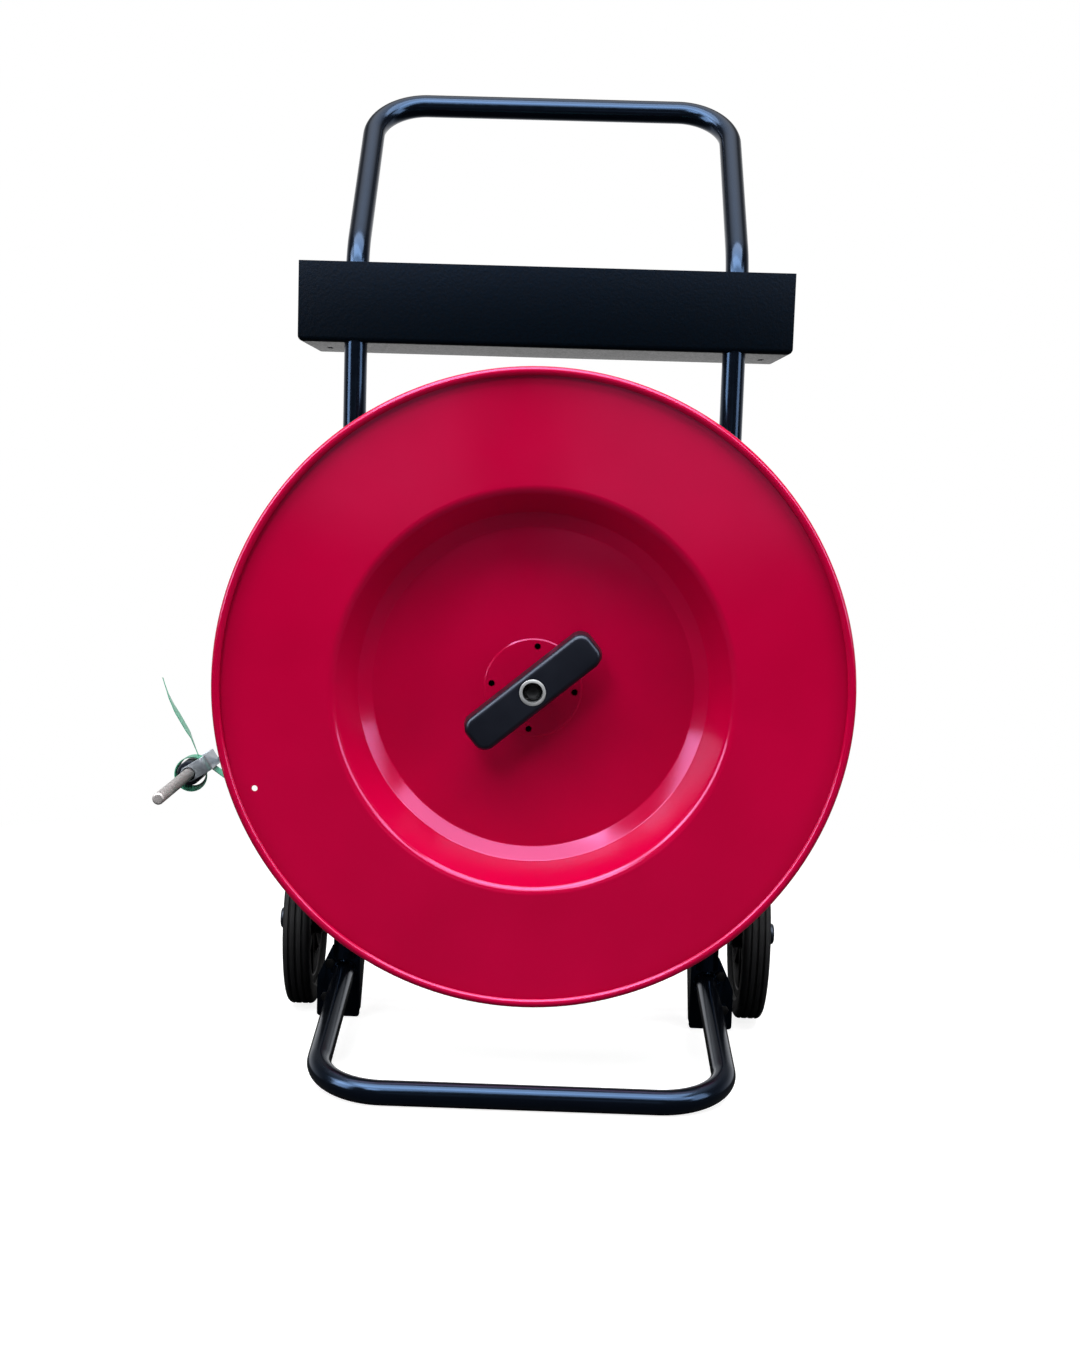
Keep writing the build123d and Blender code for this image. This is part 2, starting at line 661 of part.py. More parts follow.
with BuildPart() as flange_screws:
    head_y = REAR_FLOOR_Y + EMBOSS
    with BuildSketch(facing(head_y)):
        with Locations((0, REEL_Z)):
            with PolarLocations(SCREW_PCD / 2, 4, start_angle=SCREW_TURN):
                Circle(SCREW_HEAD_D / 2)
    extrude(amount=SCREW_HEAD_H)
    fillet(flange_screws.faces().sort_by(Axis.Y)[0:4].edges(), 0.4 * SCREW_HEAD_H)
    with BuildSketch(facing(head_y)):
        with Locations((0, REEL_Z)):
            with PolarLocations(SCREW_PCD / 2, 4, start_angle=SCREW_TURN):
                Circle(BOLT_D / 2)
    extrude(amount=-(DISC_SHEET + FLANGE_T + 2))
save(flange_screws.part, "flange_screws")

with BuildPart() as spacer_sleeve:
    sleeve_y = FRONT_FLOOR_Y - EMBOSS
    ring_along_y(sleeve_y, REAR_FLOOR_Y + EMBOSS - sleeve_y, SLEEVE_D, HUB_TUBE_D + 0.3)
save(spacer_sleeve.part, "spacer_sleeve")

COIL_Y = FRONT_FACE_Y + (DISC_GAP - COIL_W) / 2
with BuildPart() as coil_core:
    ring_along_y(COIL_Y, COIL_W, COIL_BORE + 2 * CORE_WALL, COIL_BORE)
save(coil_core.part, "coil_core")

with BuildPart() as strap_coil:
    ring_along_y(COIL_Y, COIL_W, COIL_D, COIL_BORE + 2 * CORE_WALL)
save(strap_coil.part, "strap_coil")

# ---------------------------------------------------------------- clamp handle

CLAMP_BASE_Y = FRONT_FLOOR_Y - DISC_SHEET - EMBOSS

with BuildPart() as clamp_handle:
    bar_dir = (cos(radians(CLAMP_ANGLE)), 0, sin(radians(CLAMP_ANGLE)))
    with BuildSketch(Plane((0, HUB_FRONT_Y + CLAMP_T, REEL_Z), x_dir=bar_dir, z_dir=(0, -1, 0))):
        RectangleRounded(CLAMP_L, CLAMP_W, CLAMP_CORNER_R)
    extrude(amount=CLAMP_T, taper=CLAMP_DRAFT)
    fillet(clamp_handle.faces().sort_by(Axis.Y)[0].edges(), 3)
    ring_along_y(HUB_FRONT_Y + CLAMP_T, CLAMP_BASE_Y - HUB_FRONT_Y - CLAMP_T, CLAMP_BOSS_D, 0)
    with BuildSketch(facing(CLAMP_BASE_Y)):
        with Locations((0, REEL_Z)):
            Circle(HUB_TUBE_R + RUN_GAP)
    extrude(amount=CLAMP_BASE_Y - HUB_FRONT_Y + 1, mode=Mode.SUBTRACT)
save(clamp_handle.part, "clamp_handle")

# ---------------------------------------------------------------- guide lever


def along_arm(y):
    """The plane at depth y with its origin on the rod's axis and its sketch X along the arm."""
    return Plane((ROD_X, y, ROD_Z), x_dir=ARM_DIR, z_dir=(0, -1, 0))


TAIL_REACH = (-UPRIGHT_X - ROD_X) / ARM_DIR.X  # rod to the spring hole, straight in front of the upright
FORK_DEPTH = FORK_REAR_Y + ARM_T - FORK_FRONT_Y

with BuildPart() as guide_arm:
    # Front leg of the fork, the web that joins the legs, and the long rear leg that runs to the pivot.
    with BuildSketch(along_arm(FORK_FRONT_Y)):
        Circle(ARM_W / 2)
        with Locations(((WEB_AT + ARM_T) / 2, 0)):
            Rectangle(WEB_AT + ARM_T, ARM_W)
    extrude(amount=-ARM_T)
    with BuildSketch(along_arm(FORK_FRONT_Y)):
        with Locations((WEB_AT + ARM_T / 2, 0)):
            Rectangle(ARM_T, ARM_W)
    extrude(amount=-FORK_DEPTH)
    with BuildSketch(along_arm(FORK_REAR_Y)):
        Circle(ARM_W / 2)
        with Locations((TAIL_REACH / 2, 0)):
            Rectangle(TAIL_REACH, ARM_W)
        with Locations((TAIL_REACH, 0)):
            Circle(ARM_W / 2)
    extrude(amount=-ARM_T)
    across_arm = Axis((ROD_X, FORK_FRONT_Y, ROD_Z), (-ARM_DIR.Z, 0, ARM_DIR.X))
    bends = guide_arm.edges().filter_by(across_arm)
    fillet(bends.filter_by_position(Axis.Y, FORK_FRONT_Y - 0.01, FORK_FRONT_Y + 0.01), FORK_BEND_R + ARM_T)
    bends = guide_arm.edges().filter_by(across_arm)
    fillet(bends.filter_by_position(Axis.Y, FORK_FRONT_Y + ARM_T - 0.01, FORK_FRONT_Y + ARM_T + 0.01), FORK_BEND_R)
    with BuildSketch(along_arm(FORK_FRONT_Y)):
        Circle(ROD_D / 2 + 1.2)
    extrude(amount=-ARM_T, mode=Mode.SUBTRACT)
    with BuildSketch(along_arm(FORK_REAR_Y)):
        Circle(ROD_D / 2)
        with Locations((ARM_REACH, 0)):
            Circle(PIVOT_D / 2 + RUN_GAP)
        with Locations((TAIL_REACH, 0)):
            Circle(2)
    extrude(amount=-ARM_T, mode=Mode.SUBTRACT)
save(guide_arm.part, "guide_arm")

ROD_REAR_Y = FORK_REAR_Y + ARM_T + ROD_NUT_T + 2

with BuildPart() as guide_rod:
    with BuildSketch(along_arm(ROD_FRONT_Y)):
        Circle(ROD_D / 2)
    extrude(amount=-(ROD_REAR_Y - ROD_FRONT_Y))
    chamfer(guide_rod.faces().sort_by(Axis.Y)[0].edges(), 1.5)
    with BuildSketch(Plane((ROD_X, ROD_FRONT_Y + 9, ROD_Z), z_dir=(0, 0, 1))):
        Circle(2)
    extrude(amount=ROD_D, both=True, mode=Mode.SUBTRACT)
save(guide_rod.part, "guide_rod")

with BuildPart() as rod_nuts:
    for nut_y in (FORK_REAR_Y - ROD_NUT_T, FORK_REAR_Y + ARM_T):
        with BuildSketch(along_arm(nut_y)):
            RegularPolygon(9.5, 6, major_radius=False)
            Circle(ROD_D / 2, mode=Mode.SUBTRACT)
        extrude(amount=-ROD_NUT_T)
save(rod_nuts.part, "rod_nuts")

ROLLER_Y = FORK_FRONT_Y + ARM_T + 1
ROLLER_L = FORK_REAR_Y - ROD_NUT_T - 1 - ROLLER_Y
with BuildPart() as guide_roller:
    with BuildSketch(along_arm(ROLLER_Y)):
        Circle(ROLLER_D / 2)
        Circle(ROD_D / 2 + RUN_GAP, mode=Mode.SUBTRACT)
    extrude(amount=-ROLLER_L)
    chamfer(guide_roller.edges().filter_by(GeomType.CIRCLE).group_by(SortBy.RADIUS)[-1], 1)
save(guide_roller.part, "guide_roller")

# The pad sits just outside the rear disc's rim, where the arm crosses it.
HOLDER_R = DISC_R + PAD_GAP + PAD_DEPTH
arm_offset = Vector(ROD_X, 0, ROD_Z - REEL_Z)
along = arm_offset.dot(ARM_DIR)
crossing = -along - sqrt(along**2 - arm_offset.dot(arm_offset) + HOLDER_R**2)
pad_at = arm_offset + ARM_DIR * crossing
PAD_ANGLE = degrees(atan2(pad_at.Z, pad_at.X))
PAD_Y = REAR_FACE_Y - 1


def shoe_plane(y):
    """The plane at depth y centred on the reel's axis, with its sketch X through the brake pad."""
    return Plane((0, y, REEL_Z), x_dir=(cos(radians(PAD_ANGLE)), 0, sin(radians(PAD_ANGLE))), z_dir=(0, -1, 0))


def rim_block(y, length, inner, depth):
    """A block of pad length along the rim, concave where it faces the reel."""
    with BuildSketch(shoe_plane(y)) as block:
        with Locations((inner + depth / 2 - 1, 0)):
            Rectangle(depth + 2, PAD_ARC)
        Circle(inner, mode=Mode.SUBTRACT)
    extrude(block.sketch, amount=-length)


with BuildPart() as brake_pad:
    rim_block(PAD_Y, PAD_W, DISC_R + PAD_GAP, PAD_DEPTH)
    with BuildSketch(shoe_plane(PAD_Y)):
        with Locations((HOLDER_R + 5, 0)):
            Rectangle(10, 2 * PAD_ARC)
    extrude(amount=-PAD_W, mode=Mode.SUBTRACT)
save(brake_pad.part, "brake_pad")

with BuildPart() as brake_holder:
    with BuildSketch(shoe_plane(PAD_Y)):
        with Locations((HOLDER_R + HOLDER_T / 2, 0)):
            Rectangle(HOLDER_T, PAD_ARC)
    extrude(amount=-(FORK_REAR_Y - PAD_Y))
save(brake_holder.part, "brake_holder")

BUSH_Y = FORK_REAR_Y + ARM_T + 2
with BuildPart() as lever_bush:
    with BuildSketch(facing(BUSH_Y)):
        with Locations((PIVOT_X, PIVOT_Z)):
            Circle(BUSH_D / 2)
            Circle(PIVOT_D / 2 + RUN_GAP, mode=Mode.SUBTRACT)
    extrude(amount=-BUSH_L)
    with Locations((-UPRIGHT_X, UPRIGHT_Y, PIVOT_Z)):
        Cylinder(TUBE_R, 3 * TUBE_D, mode=Mode.SUBTRACT)
save(lever_bush.part, "lever_bush")

with BuildPart() as pivot_washer:
    with BuildSketch(facing(BUSH_Y - 1.8)):
        with Locations((PIVOT_X, PIVOT_Z)):
            Circle(BUSH_D / 2 - 1)
            Circle(PIVOT_D / 2 + RUN_GAP, mode=Mode.SUBTRACT)
    extrude(amount=-1.8)
save(pivot_washer.part, "pivot_washer")

with BuildPart() as pivot_bolt:
    hex_bolt(FORK_REAR_Y - 0.3, PIVOT_X, PIVOT_Z, BUSH_Y + BUSH_L - FORK_REAR_Y + 0.3, PIVOT_D)
save(pivot_bolt.part, "pivot_bolt")

# Tension spring from the arm's tail up to a lug on the upright, pulling the guide down and the pad onto the rim.
SPRING_Y = FORK_REAR_Y + ARM_T + 6.0
TAIL_Z = ROD_Z + TAIL_REACH * ARM_DIR.Z
LUG_Z = TAIL_Z + SPRING_REACH

with BuildPart() as spring_lug:
    lug_front_y = SPRING_Y - 6
    with BuildSketch(across(-UPRIGHT_X - LUG_T / 2)):
        with BuildLine():
            Polyline(
                [
                    (UPRIGHT_Y - 5, LUG_Z - LUG_ROOT / 2),
                    (lug_front_y, LUG_Z - LUG_TIP / 2),
                    (lug_front_y, LUG_Z + LUG_TIP / 2),
                    (UPRIGHT_Y - 5, LUG_Z + LUG_ROOT / 2),
                ],
                close=True,
            )
        make_face()
        with Locations((SPRING_Y, LUG_Z)):
            Circle(2, mode=Mode.SUBTRACT)
    extrude(amount=LUG_T)
    with Locations((-UPRIGHT_X, UPRIGHT_Y, LUG_Z)):
        Cylinder(TUBE_R, 3 * TUBE_D, mode=Mode.SUBTRACT)
save(spring_lug.part, "spring_lug")

HOOK_REACH = SPRING_Y - FORK_REAR_Y + 3
SPRING_FOOT_Z = (TAIL_Z + LUG_Z - SPRING_TURNS * SPRING_PITCH) / 2
SPRING_TOP_Z = SPRING_FOOT_Z + SPRING_TURNS * SPRING_PITCH

with BuildPart() as lever_spring:
    with BuildLine() as coil_line:
        Helix(SPRING_PITCH, SPRING_TURNS * SPRING_PITCH, SPRING_R, center=(-UPRIGHT_X, SPRING_Y, SPRING_FOOT_Z))
    with BuildSketch(Plane(coil_line.line @ 0, z_dir=coil_line.line % 0)):
        Circle(WIRE_D / 2)
    sweep(is_frenet=True)
    # Each end of the wire turns in to the axis. The lower one hooks forwards through the arm's tail, and the
    # upper one sideways through the lug.
    foot_drop = TAIL_Z - SPRING_FOOT_Z
    top_rise = LUG_Z - SPRING_TOP_Z
    lead_out = 0.9 * SPRING_R
    climb = lead_out * SPRING_PITCH / (2 * pi * SPRING_R)
    turn_in = 1.25 * SPRING_R
    lower_hook = [
        (SPRING_R, 0, 0),
        (SPRING_R, -lead_out, -climb),
        (0, 0, -turn_in),
        (0, 0, foot_drop),
        (0, -HOOK_REACH, foot_drop),
    ]
    upper_hook = [
        (SPRING_R, 0, 0),
        (SPRING_R, lead_out, climb),
        (0, 0, turn_in),
        (-SPRING_R, 0, 2 * turn_in),
        (-SPRING_R, 0, top_rise),
        (1.25 * SPRING_R, 0, top_rise),
    ]
    for end_z, corners in ((SPRING_FOOT_Z, lower_hook), (SPRING_TOP_Z, upper_hook)):
        with BuildLine() as hook_line:
            FilletPolyline([(-UPRIGHT_X + x, SPRING_Y + y, end_z + z) for x, y, z in corners], radius=1.5 * WIRE_D / 2)
        with BuildSketch(Plane(hook_line.line @ 0, z_dir=hook_line.line % 0)):
            Circle(WIRE_D / 2)
        sweep()
save(lever_spring.part, "lever_spring")

# ---------------------------------------------------------------- strap lead

# The strap leaves the coil on a crossing tangent, turns once round the roller with slack, and stands up as a free end.
# The loop hangs on the roller, so its slack is all underneath.
LOOP_SLACK = LOOP_R - STRAP_T / 2 - STRAP_GAP - ROLLER_D / 2
LOOP_X = ROD_X
LOOP_Z = ROD_Z - LOOP_SLACK
feed_r = COIL_D / 2 + COIL_GAP + STRAP_T / 2
to_reel = Vector(-LOOP_X, 0, REEL_Z - LOOP_Z)
bearing = degrees(atan2(to_reel.Z, to_reel.X))
LOOP_START = bearing + degrees(acos((LOOP_R + feed_r) / to_reel.length))
LOOP_END = TAIL_ANGLE - 90
LOOP_WRAP = FULL_TURN - LOOP_START + LOOP_END
feed_l = sqrt(to_reel.length**2 - (LOOP_R + feed_r) ** 2)


def around(angle):
    """The unit vector at this angle from X towards Z."""
    return Vector(cos(radians(angle)), 0, sin(radians(angle)))


with BuildPart() as strap_loop:
    # Made round Z, with the strap's start on X.
    with BuildLine() as loop_line:
        Helix(STRAP_PITCH * FULL_TURN / LOOP_WRAP, STRAP_PITCH, LOOP_R)
    with BuildSketch(Plane(loop_line.line @ 0, x_dir=(1, 0, 0), z_dir=loop_line.line % 0)):
        Rectangle(STRAP_T, STRAP_W)
    sweep(is_frenet=True)

loop_plane = Plane((LOOP_X, STRAP_REAR_Y - STRAP_W / 2, LOOP_Z), x_dir=around(LOOP_START), z_dir=(0, -1, 0))

with BuildPart() as strap_lead:
    add(strap_loop.part.moved(Location(loop_plane)))
    feed_at = Vector(LOOP_X, STRAP_REAR_Y, LOOP_Z) + around(LOOP_START) * LOOP_R
    with BuildSketch(Plane(feed_at, x_dir=around(LOOP_START - 90), z_dir=(0, -1, 0))):
        with Locations((feed_l / 2, 0)):
            Rectangle(feed_l, STRAP_T)
    extrude(amount=STRAP_W)
    tail_at = Vector(LOOP_X, STRAP_REAR_Y - STRAP_PITCH, LOOP_Z) + around(LOOP_END) * LOOP_R
    with BuildSketch(Plane(tail_at, x_dir=around(TAIL_ANGLE), z_dir=(0, -1, 0))):
        with BuildLine() as tail_line:
            straight = Line((0, 0), (TAIL_RUN, 0))
            JernArc(straight @ 1, straight % 1, TAIL_BEND_R, TAIL_TURN)
        trace(tail_line.line, STRAP_T)
    extrude(amount=STRAP_W)
save(strap_lead.part, "strap_lead")
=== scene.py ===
"""A strapping dispenser trolley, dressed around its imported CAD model.

A dished steel reel stands on a bent-tube cart with two rubber-tyred wheels, an open tool tray and a sprung
guide lever. Each sub-assembly is a class: its fields are the piece's own sizes in millimetres, and its build
method models and dresses the pieces. X runs to the right of someone facing the reel, Y away from them and Z
up, and the origin is on the floor under the middle of the foot bar. Everything is made in metres, at rest,
where the CAD has it.
"""

from __future__ import annotations

import logging
from collections.abc import Callable, Sequence
from dataclasses import dataclass
from enum import Enum
from functools import lru_cache
from math import acos, atan2, cos, degrees, pi, radians, sin, sqrt, tan

import bmesh
import bpy
from mathutils import Matrix, Vector

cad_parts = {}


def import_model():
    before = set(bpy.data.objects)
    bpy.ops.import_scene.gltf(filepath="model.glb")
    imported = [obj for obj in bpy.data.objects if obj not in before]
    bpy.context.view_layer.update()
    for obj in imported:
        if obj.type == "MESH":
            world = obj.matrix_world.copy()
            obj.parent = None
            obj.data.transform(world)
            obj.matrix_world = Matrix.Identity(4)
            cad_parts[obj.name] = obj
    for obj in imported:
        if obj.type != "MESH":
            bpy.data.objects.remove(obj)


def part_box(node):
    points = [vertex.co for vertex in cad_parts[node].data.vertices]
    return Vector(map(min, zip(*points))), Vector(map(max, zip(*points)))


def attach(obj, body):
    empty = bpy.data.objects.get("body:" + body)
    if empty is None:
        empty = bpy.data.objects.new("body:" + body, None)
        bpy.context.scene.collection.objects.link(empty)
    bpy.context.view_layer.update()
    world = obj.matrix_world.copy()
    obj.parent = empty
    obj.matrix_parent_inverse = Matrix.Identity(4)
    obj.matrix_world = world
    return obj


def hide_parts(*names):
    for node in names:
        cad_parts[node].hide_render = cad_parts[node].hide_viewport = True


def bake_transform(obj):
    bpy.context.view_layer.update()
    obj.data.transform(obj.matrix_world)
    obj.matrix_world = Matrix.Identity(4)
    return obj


LOG = logging.getLogger("trolley")
MM = 0.001
WHITE = (1.0, 1.0, 1.0, 1.0)
SIDES = (("left", -1), ("right", 1))
AXIS_X = Vector((1, 0, 0))
AXIS_Y = Vector((0, 1, 0))
AXIS_Z = Vector((0, 0, 1))

Piece = bpy.types.Object
Tree = bpy.types.NodeTree
Socket = bpy.types.NodeSocket
Line = Sequence[tuple[float, float]]


class Body(str, Enum):
    """The rigid bodies of the trolley, by their names in the record."""

    CART = "cart"
    REEL = "reel"
    FRONT_SIDE = "front_side"
    CLAMP = "clamp"
    LEVER = "guide_lever"
    ROLLER = "roller"
    WHEEL_LEFT = "wheel_left"
    WHEEL_RIGHT = "wheel_right"


class Slot(str, Enum):
    """The material slots of the record, which the dressing of each new piece lists."""

    BLACK_PAINT = "black_paint"
    TEXTURE_PAINT = "texture_paint"
    RED_PAINT = "red_paint"
    ZINC = "zinc"
    BRIGHT_STEEL = "bright_steel"
    BEARING = "bearing_plastic"
    BLACK_PLASTIC = "black_plastic"
    TYRE = "tyre_rubber"
    PAD = "pad_rubber"
    CARD = "card"
    STRAP = "strap_plastic"


# ---------------------------------------------------------------- colour and nodes


def linear(hex_code: str) -> tuple[float, float, float, float]:
    """Turns an sRGB colour into the linear colour that shaders take.

    Args:
        hex_code: The colour as six hex digits, such as "ac0335".

    Returns:
        Red, green and blue in linear light, and an alpha of 1.
    """
    srgb = [int(hex_code[i : i + 2], 16) / 255 for i in (0, 2, 4)]
    red, green, blue = (c / 12.92 if c <= 0.04045 else ((c + 0.055) / 1.055) ** 2.4 for c in srgb)
    return red, green, blue, 1.0


def add_node(
    tree: Tree, kind: str, inputs: dict | None = None, output: int | str = 0, **settings: object
) -> Socket | None:
    """Adds a shader node with its settings and links.

    Args:
        tree: The node tree that gets it.
        kind: The node's type name after "ShaderNode".
        inputs: Values or output sockets by input name or index. A socket is linked and a value is set.
        output: The name or index of the output that is wanted.
        settings: Attributes of the node itself.

    Returns:
        The wanted output, or None for a node that has none.
    """
    made = tree.nodes.new("ShaderNode" + kind)
    for name, value in settings.items():
        setattr(made, name, value)
    for socket, value in (inputs or {}).items():
        if isinstance(value, Socket):
            tree.links.new(value, made.inputs[socket])
        else:
            made.inputs[socket].default_value = value
    return made.outputs[output] if made.outputs else None


def add_ramp(tree: Tree, source: Socket, stops: Sequence[tuple[float, str]]) -> Socket:
    """A colour that runs between two stops over a factor, each of them a position and a hex colour."""
    colour = add_node(tree, "ValToRGB", {"Fac": source})
    for element, (position, hex_code) in zip(colour.node.color_ramp.elements, stops):
        element.position = position
        element.color = linear(hex_code)
    return colour


def add_range(
    tree: Tree, source: Socket, start: float, end: float, low: float = 0.0, high: float = 1.0
) -> Socket:
    """A value that runs from low to high as the source runs from start to end, and stays there."""
    inputs = {"Value": source, "From Min": start, "From Max": end, "To Min": low, "To Max": high}
    return add_node(tree, "MapRange", inputs)


def add_math(tree: Tree, operation: str, first: Socket, second: Socket) -> Socket:
    """The result of an arithmetic operation on two values."""
    return add_node(tree, "Math", {0: first, 1: second}, operation=operation)


def add_mix(tree: Tree, factor: Socket | float, first: Socket, second: Socket) -> Socket:
    """A shader that goes from the first to the second with the factor."""
    return add_node(tree, "MixShader", {0: factor, 1: first, 2: second})


def add_cloud(tree: Tree, place: Socket, size_mm: float, detail: float) -> Socket:
    """A soft noise factor whose features are size_mm across."""
    return add_node(tree, "TexNoise", {"Vector": place, "Scale": 1 / (size_mm * MM), "Detail": detail}, "Fac")


def add_bump(tree: Tree, shader: bpy.types.Node, height: Socket, depth_mm: float, strength: float) -> None:
    """Bumps the shader's surface by a height factor whose full range is depth_mm, on top of any other bump."""
    inputs = {"Height": height, "Distance": depth_mm * MM, "Strength": strength}
    if shader.inputs["Normal"].is_linked:
        inputs["Normal"] = shader.inputs["Normal"].links[0].from_socket
    tree.links.new(add_node(tree, "Bump", inputs, "Normal"), shader.inputs["Normal"])


# ---------------------------------------------------------------- finishes


@dataclass(frozen=True)
class Finish:
    """A surface finish: the common name of the material, its colour and gloss, and the noises that vary them.

    A noise starts with its size in millimetres and its detail.
    """

    name: str
    colour: str
    roughness: float = 0.4
    metallic: float = 0.0
    gloss: float = 0.5
    tint: str = "ffffff"
    # A second colour that clouds into the first, their noise, and where on it the second and the first
    # are pure.
    second: str = ""
    mottle: tuple[float, float] = (9.0, 5.0)
    span: tuple[float, float] = (0.3, 0.7)
    # The noise that varies the roughness, with the shares of it at its low and high end.
    sheen: tuple[float, ...] = ()
    # The noises that bump the surface, each with its depth in millimetres and its strength.
    bumps: tuple[tuple[float, ...], ...] = ()
    # The axis along which a turned or drawn surface is lined.
    lined: int | None = None

    def start(self) -> tuple[bpy.types.Material, bpy.types.Node]:
        """Makes the material with a Principled shader at the finish's own values.

        Returns:
            The material and its shader.
        """
        material = bpy.data.materials.new(self.name)
        material.use_nodes = True
        shader = material.node_tree.nodes["Principled BSDF"]
        shader.inputs["Base Color"].default_value = linear(self.colour)
        shader.inputs["Roughness"].default_value = self.roughness
        shader.inputs["Metallic"].default_value = self.metallic
        shader.inputs["Specular IOR Level"].default_value = self.gloss
        shader.inputs["Specular Tint"].default_value = linear(self.tint)
        return material, shader

    def make(self) -> bpy.types.Material:
        """Makes the finished material."""
        material, shader = self.start()
        tree = material.node_tree
        place = add_node(tree, "TexCoord", output="Object")
        if self.lined is not None:
            stretch = [30.0 if axis == self.lined else 1.0 for axis in range(3)]
            place = add_node(tree, "Mapping", {"Vector": place, "Scale": stretch})
        if self.second:
            stops = sorted([(self.span[0], self.second), (self.span[1], self.colour)])
            colour = add_ramp(tree, add_cloud(tree, place, *self.mottle), stops)
            tree.links.new(colour, shader.inputs["Base Color"])
        if self.sheen:
            size_mm, detail, *shares = self.sheen
            ends = [self.roughness * share for share in shares]
            spread = add_range(tree, add_cloud(tree, place, size_mm, detail), 0.3, 0.7, *ends)
            tree.links.new(spread, shader.inputs["Roughness"])
        for size_mm, detail, depth_mm, strength in self.bumps:
            add_bump(tree, shader, add_cloud(tree, place, size_mm, detail), depth_mm, strength)
        return material


@dataclass(frozen=True)
class PlatedSteel(Finish):
    """Steel plated in a bath, or near-black steel: cloudy, with a colder second tone."""

    sheen: tuple[float, ...] = (9.0, 5.0, 0.8, 1.2)
    bumps: tuple[tuple[float, ...], ...] = ((0.8, 2.0, 0.008, 0.3),)


@dataclass(frozen=True)
class TurnedSteel(Finish):
    """Bright steel bar turned or drawn: a clean grey with fine rings or draw lines along one axis."""

    sheen: tuple[float, ...] = (18.0, 3.0, 0.7, 1.3)
    bumps: tuple[tuple[float, ...], ...] = ((18.0, 3.0, 0.01, 0.5),)


@dataclass(frozen=True)
class MouldedPlastic(Finish):
    """Injection-moulded plastic from a spark-eroded mould: a fine even grain with a low satin sheen."""

    sheen: tuple[float, ...] = (30.0, 3.0, 0.88, 1.12)
    bumps: tuple[tuple[float, ...], ...] = ((0.9, 2.0, 0.03, 0.5),)


@dataclass(frozen=True)
class Rubber(Finish):
    """Vulcanised rubber: near black, with a dusty bloom in patches and a dull surface."""

    mottle: tuple[float, float] = (22.0, 6.0)
    span: tuple[float, float] = (0.8, 0.4)
    sheen: tuple[float, ...] = (8.0, 3.0, 0.9, 1.08)
    bumps: tuple[tuple[float, ...], ...] = ((0.7, 2.0, 0.05, 0.5),)


@dataclass(frozen=True)
class StrapPlastic(Finish):
    """Extruded polyester strap: a clear-edged band whose rolled-in diamond emboss catches small glints."""

    # The real emboss is about half as coarse, which would be too fine to show.
    emboss_mm: float = 4.0
    glow: float = 0.2

    def make(self) -> bpy.types.Material:
        """Makes the finished material."""
        material, shader = self.start()
        tree = material.node_tree
        uv = add_node(tree, "TexCoord", output="UV")
        # One repeat of the wave texture is 20 / (2 pi) long at a scale of 1.
        scale = 2 * pi / 20 / (self.emboss_mm * MM)
        waves = []
        for turn in (pi / 4, -pi / 4):
            turned = add_node(tree, "Mapping", {"Vector": uv, "Rotation": (0, 0, turn)})
            waves.append(
                add_node(tree, "TexWave", {"Vector": turned, "Scale": scale}, "Fac", bands_direction="X")
            )
        both = add_math(tree, "MULTIPLY", *waves)
        colour = add_ramp(tree, both, [(0.0, self.colour), (1.0, self.second)])
        tree.links.new(colour, shader.inputs["Base Color"])
        add_bump(tree, shader, both, 0.042, 0.5)
        # Thin strap lets light through, so it glows a little against a bright room.
        through = add_node(tree, "BsdfTranslucent", {"Color": colour})
        surface = add_mix(tree, self.glow, shader.outputs["BSDF"], through)
        tree.links.new(surface, tree.nodes["Material Output"].inputs["Surface"])
        return material


# Deep crimson enamel on the pressed discs, whose gloss shows pink. Pressed sheet is never quite flat.
RED_ENAMEL = Finish(
    "crimson_stoving_enamel",
    "b50036",
    0.13,
    tint="ffb3ff",
    second="ab0031",
    mottle=(140.0, 2.0),
    sheen=(28.0, 3.0, 0.85, 1.15),
    bumps=((3.2, 1.0, 0.004, 0.35), (130.0, 0.0, 0.25, 1.0)),
)
# Blue-black enamel on the tubes and brackets, with a faint orange peel.
BLACK_ENAMEL = Finish(
    "black_stoving_enamel",
    "05070d",
    0.18,
    tint="93c1ff",
    second="04060a",
    mottle=(60.0, 2.0),
    sheen=(12.0, 3.0, 0.85, 1.15),
    bumps=((3.2, 1.0, 0.002, 0.35),),
)
# Textured powder coat: fine hard wrinkles that break up the gloss and hide finger marks.
WRINKLE_BLACK = Finish(
    "black_wrinkle_powder_coat",
    "020407",
    0.42,
    tint="1a2c46",
    second="040a12",
    mottle=(2.8, 4.0),
    span=(0.75, 0.35),
    sheen=(2.8, 4.0, 1.15, 0.8),
    bumps=((2.8, 4.0, 0.3, 0.9),),
)
ZINC = PlatedSteel("blue_passivated_zinc_plate", "a4abb2", 0.36, 0.7, second="949da8")
ROD_STEEL = PlatedSteel("drawn_grey_steel", "9a9696", 0.52, 0.6, second="8a8787")
# Near-black steel for the bracket bolts and the spindle parts, which show only as small soft glints. On the
# spindle, its washer and its screw, which are bright steel and zinc, the near-black is painted shade of the
# bore of the hub tube.
DARK_STEEL_AND_BORE_SHADE = PlatedSteel("black_oxide_on_steel", "0d0e12", 0.38, 0.3, gloss=0.4, second="08090c")
HUB_STEEL = TurnedSteel("turned_steel_tube", "c4c7ca", 0.34, 0.8, lined=1)
SPRING_WIRE = TurnedSteel("patented_spring_wire", "8d8f94", 0.28, 1.0, lined=2)
BLACK_NYLON = MouldedPlastic("black_moulded_nylon", "0d0e16", 0.34, gloss=0.45, tint="c8d8f5")
BLACK_PROPYLENE = MouldedPlastic("black_moulded_polypropylene", "0b0c10", 0.46, gloss=0.3)
NATURAL_ACETAL = MouldedPlastic("natural_turned_acetal", "ddd8c8", 0.4)
TYRE_RUBBER = Rubber("black_vulcanised_rubber", "0a0b0e", 0.7, gloss=0.25, second="17181c")
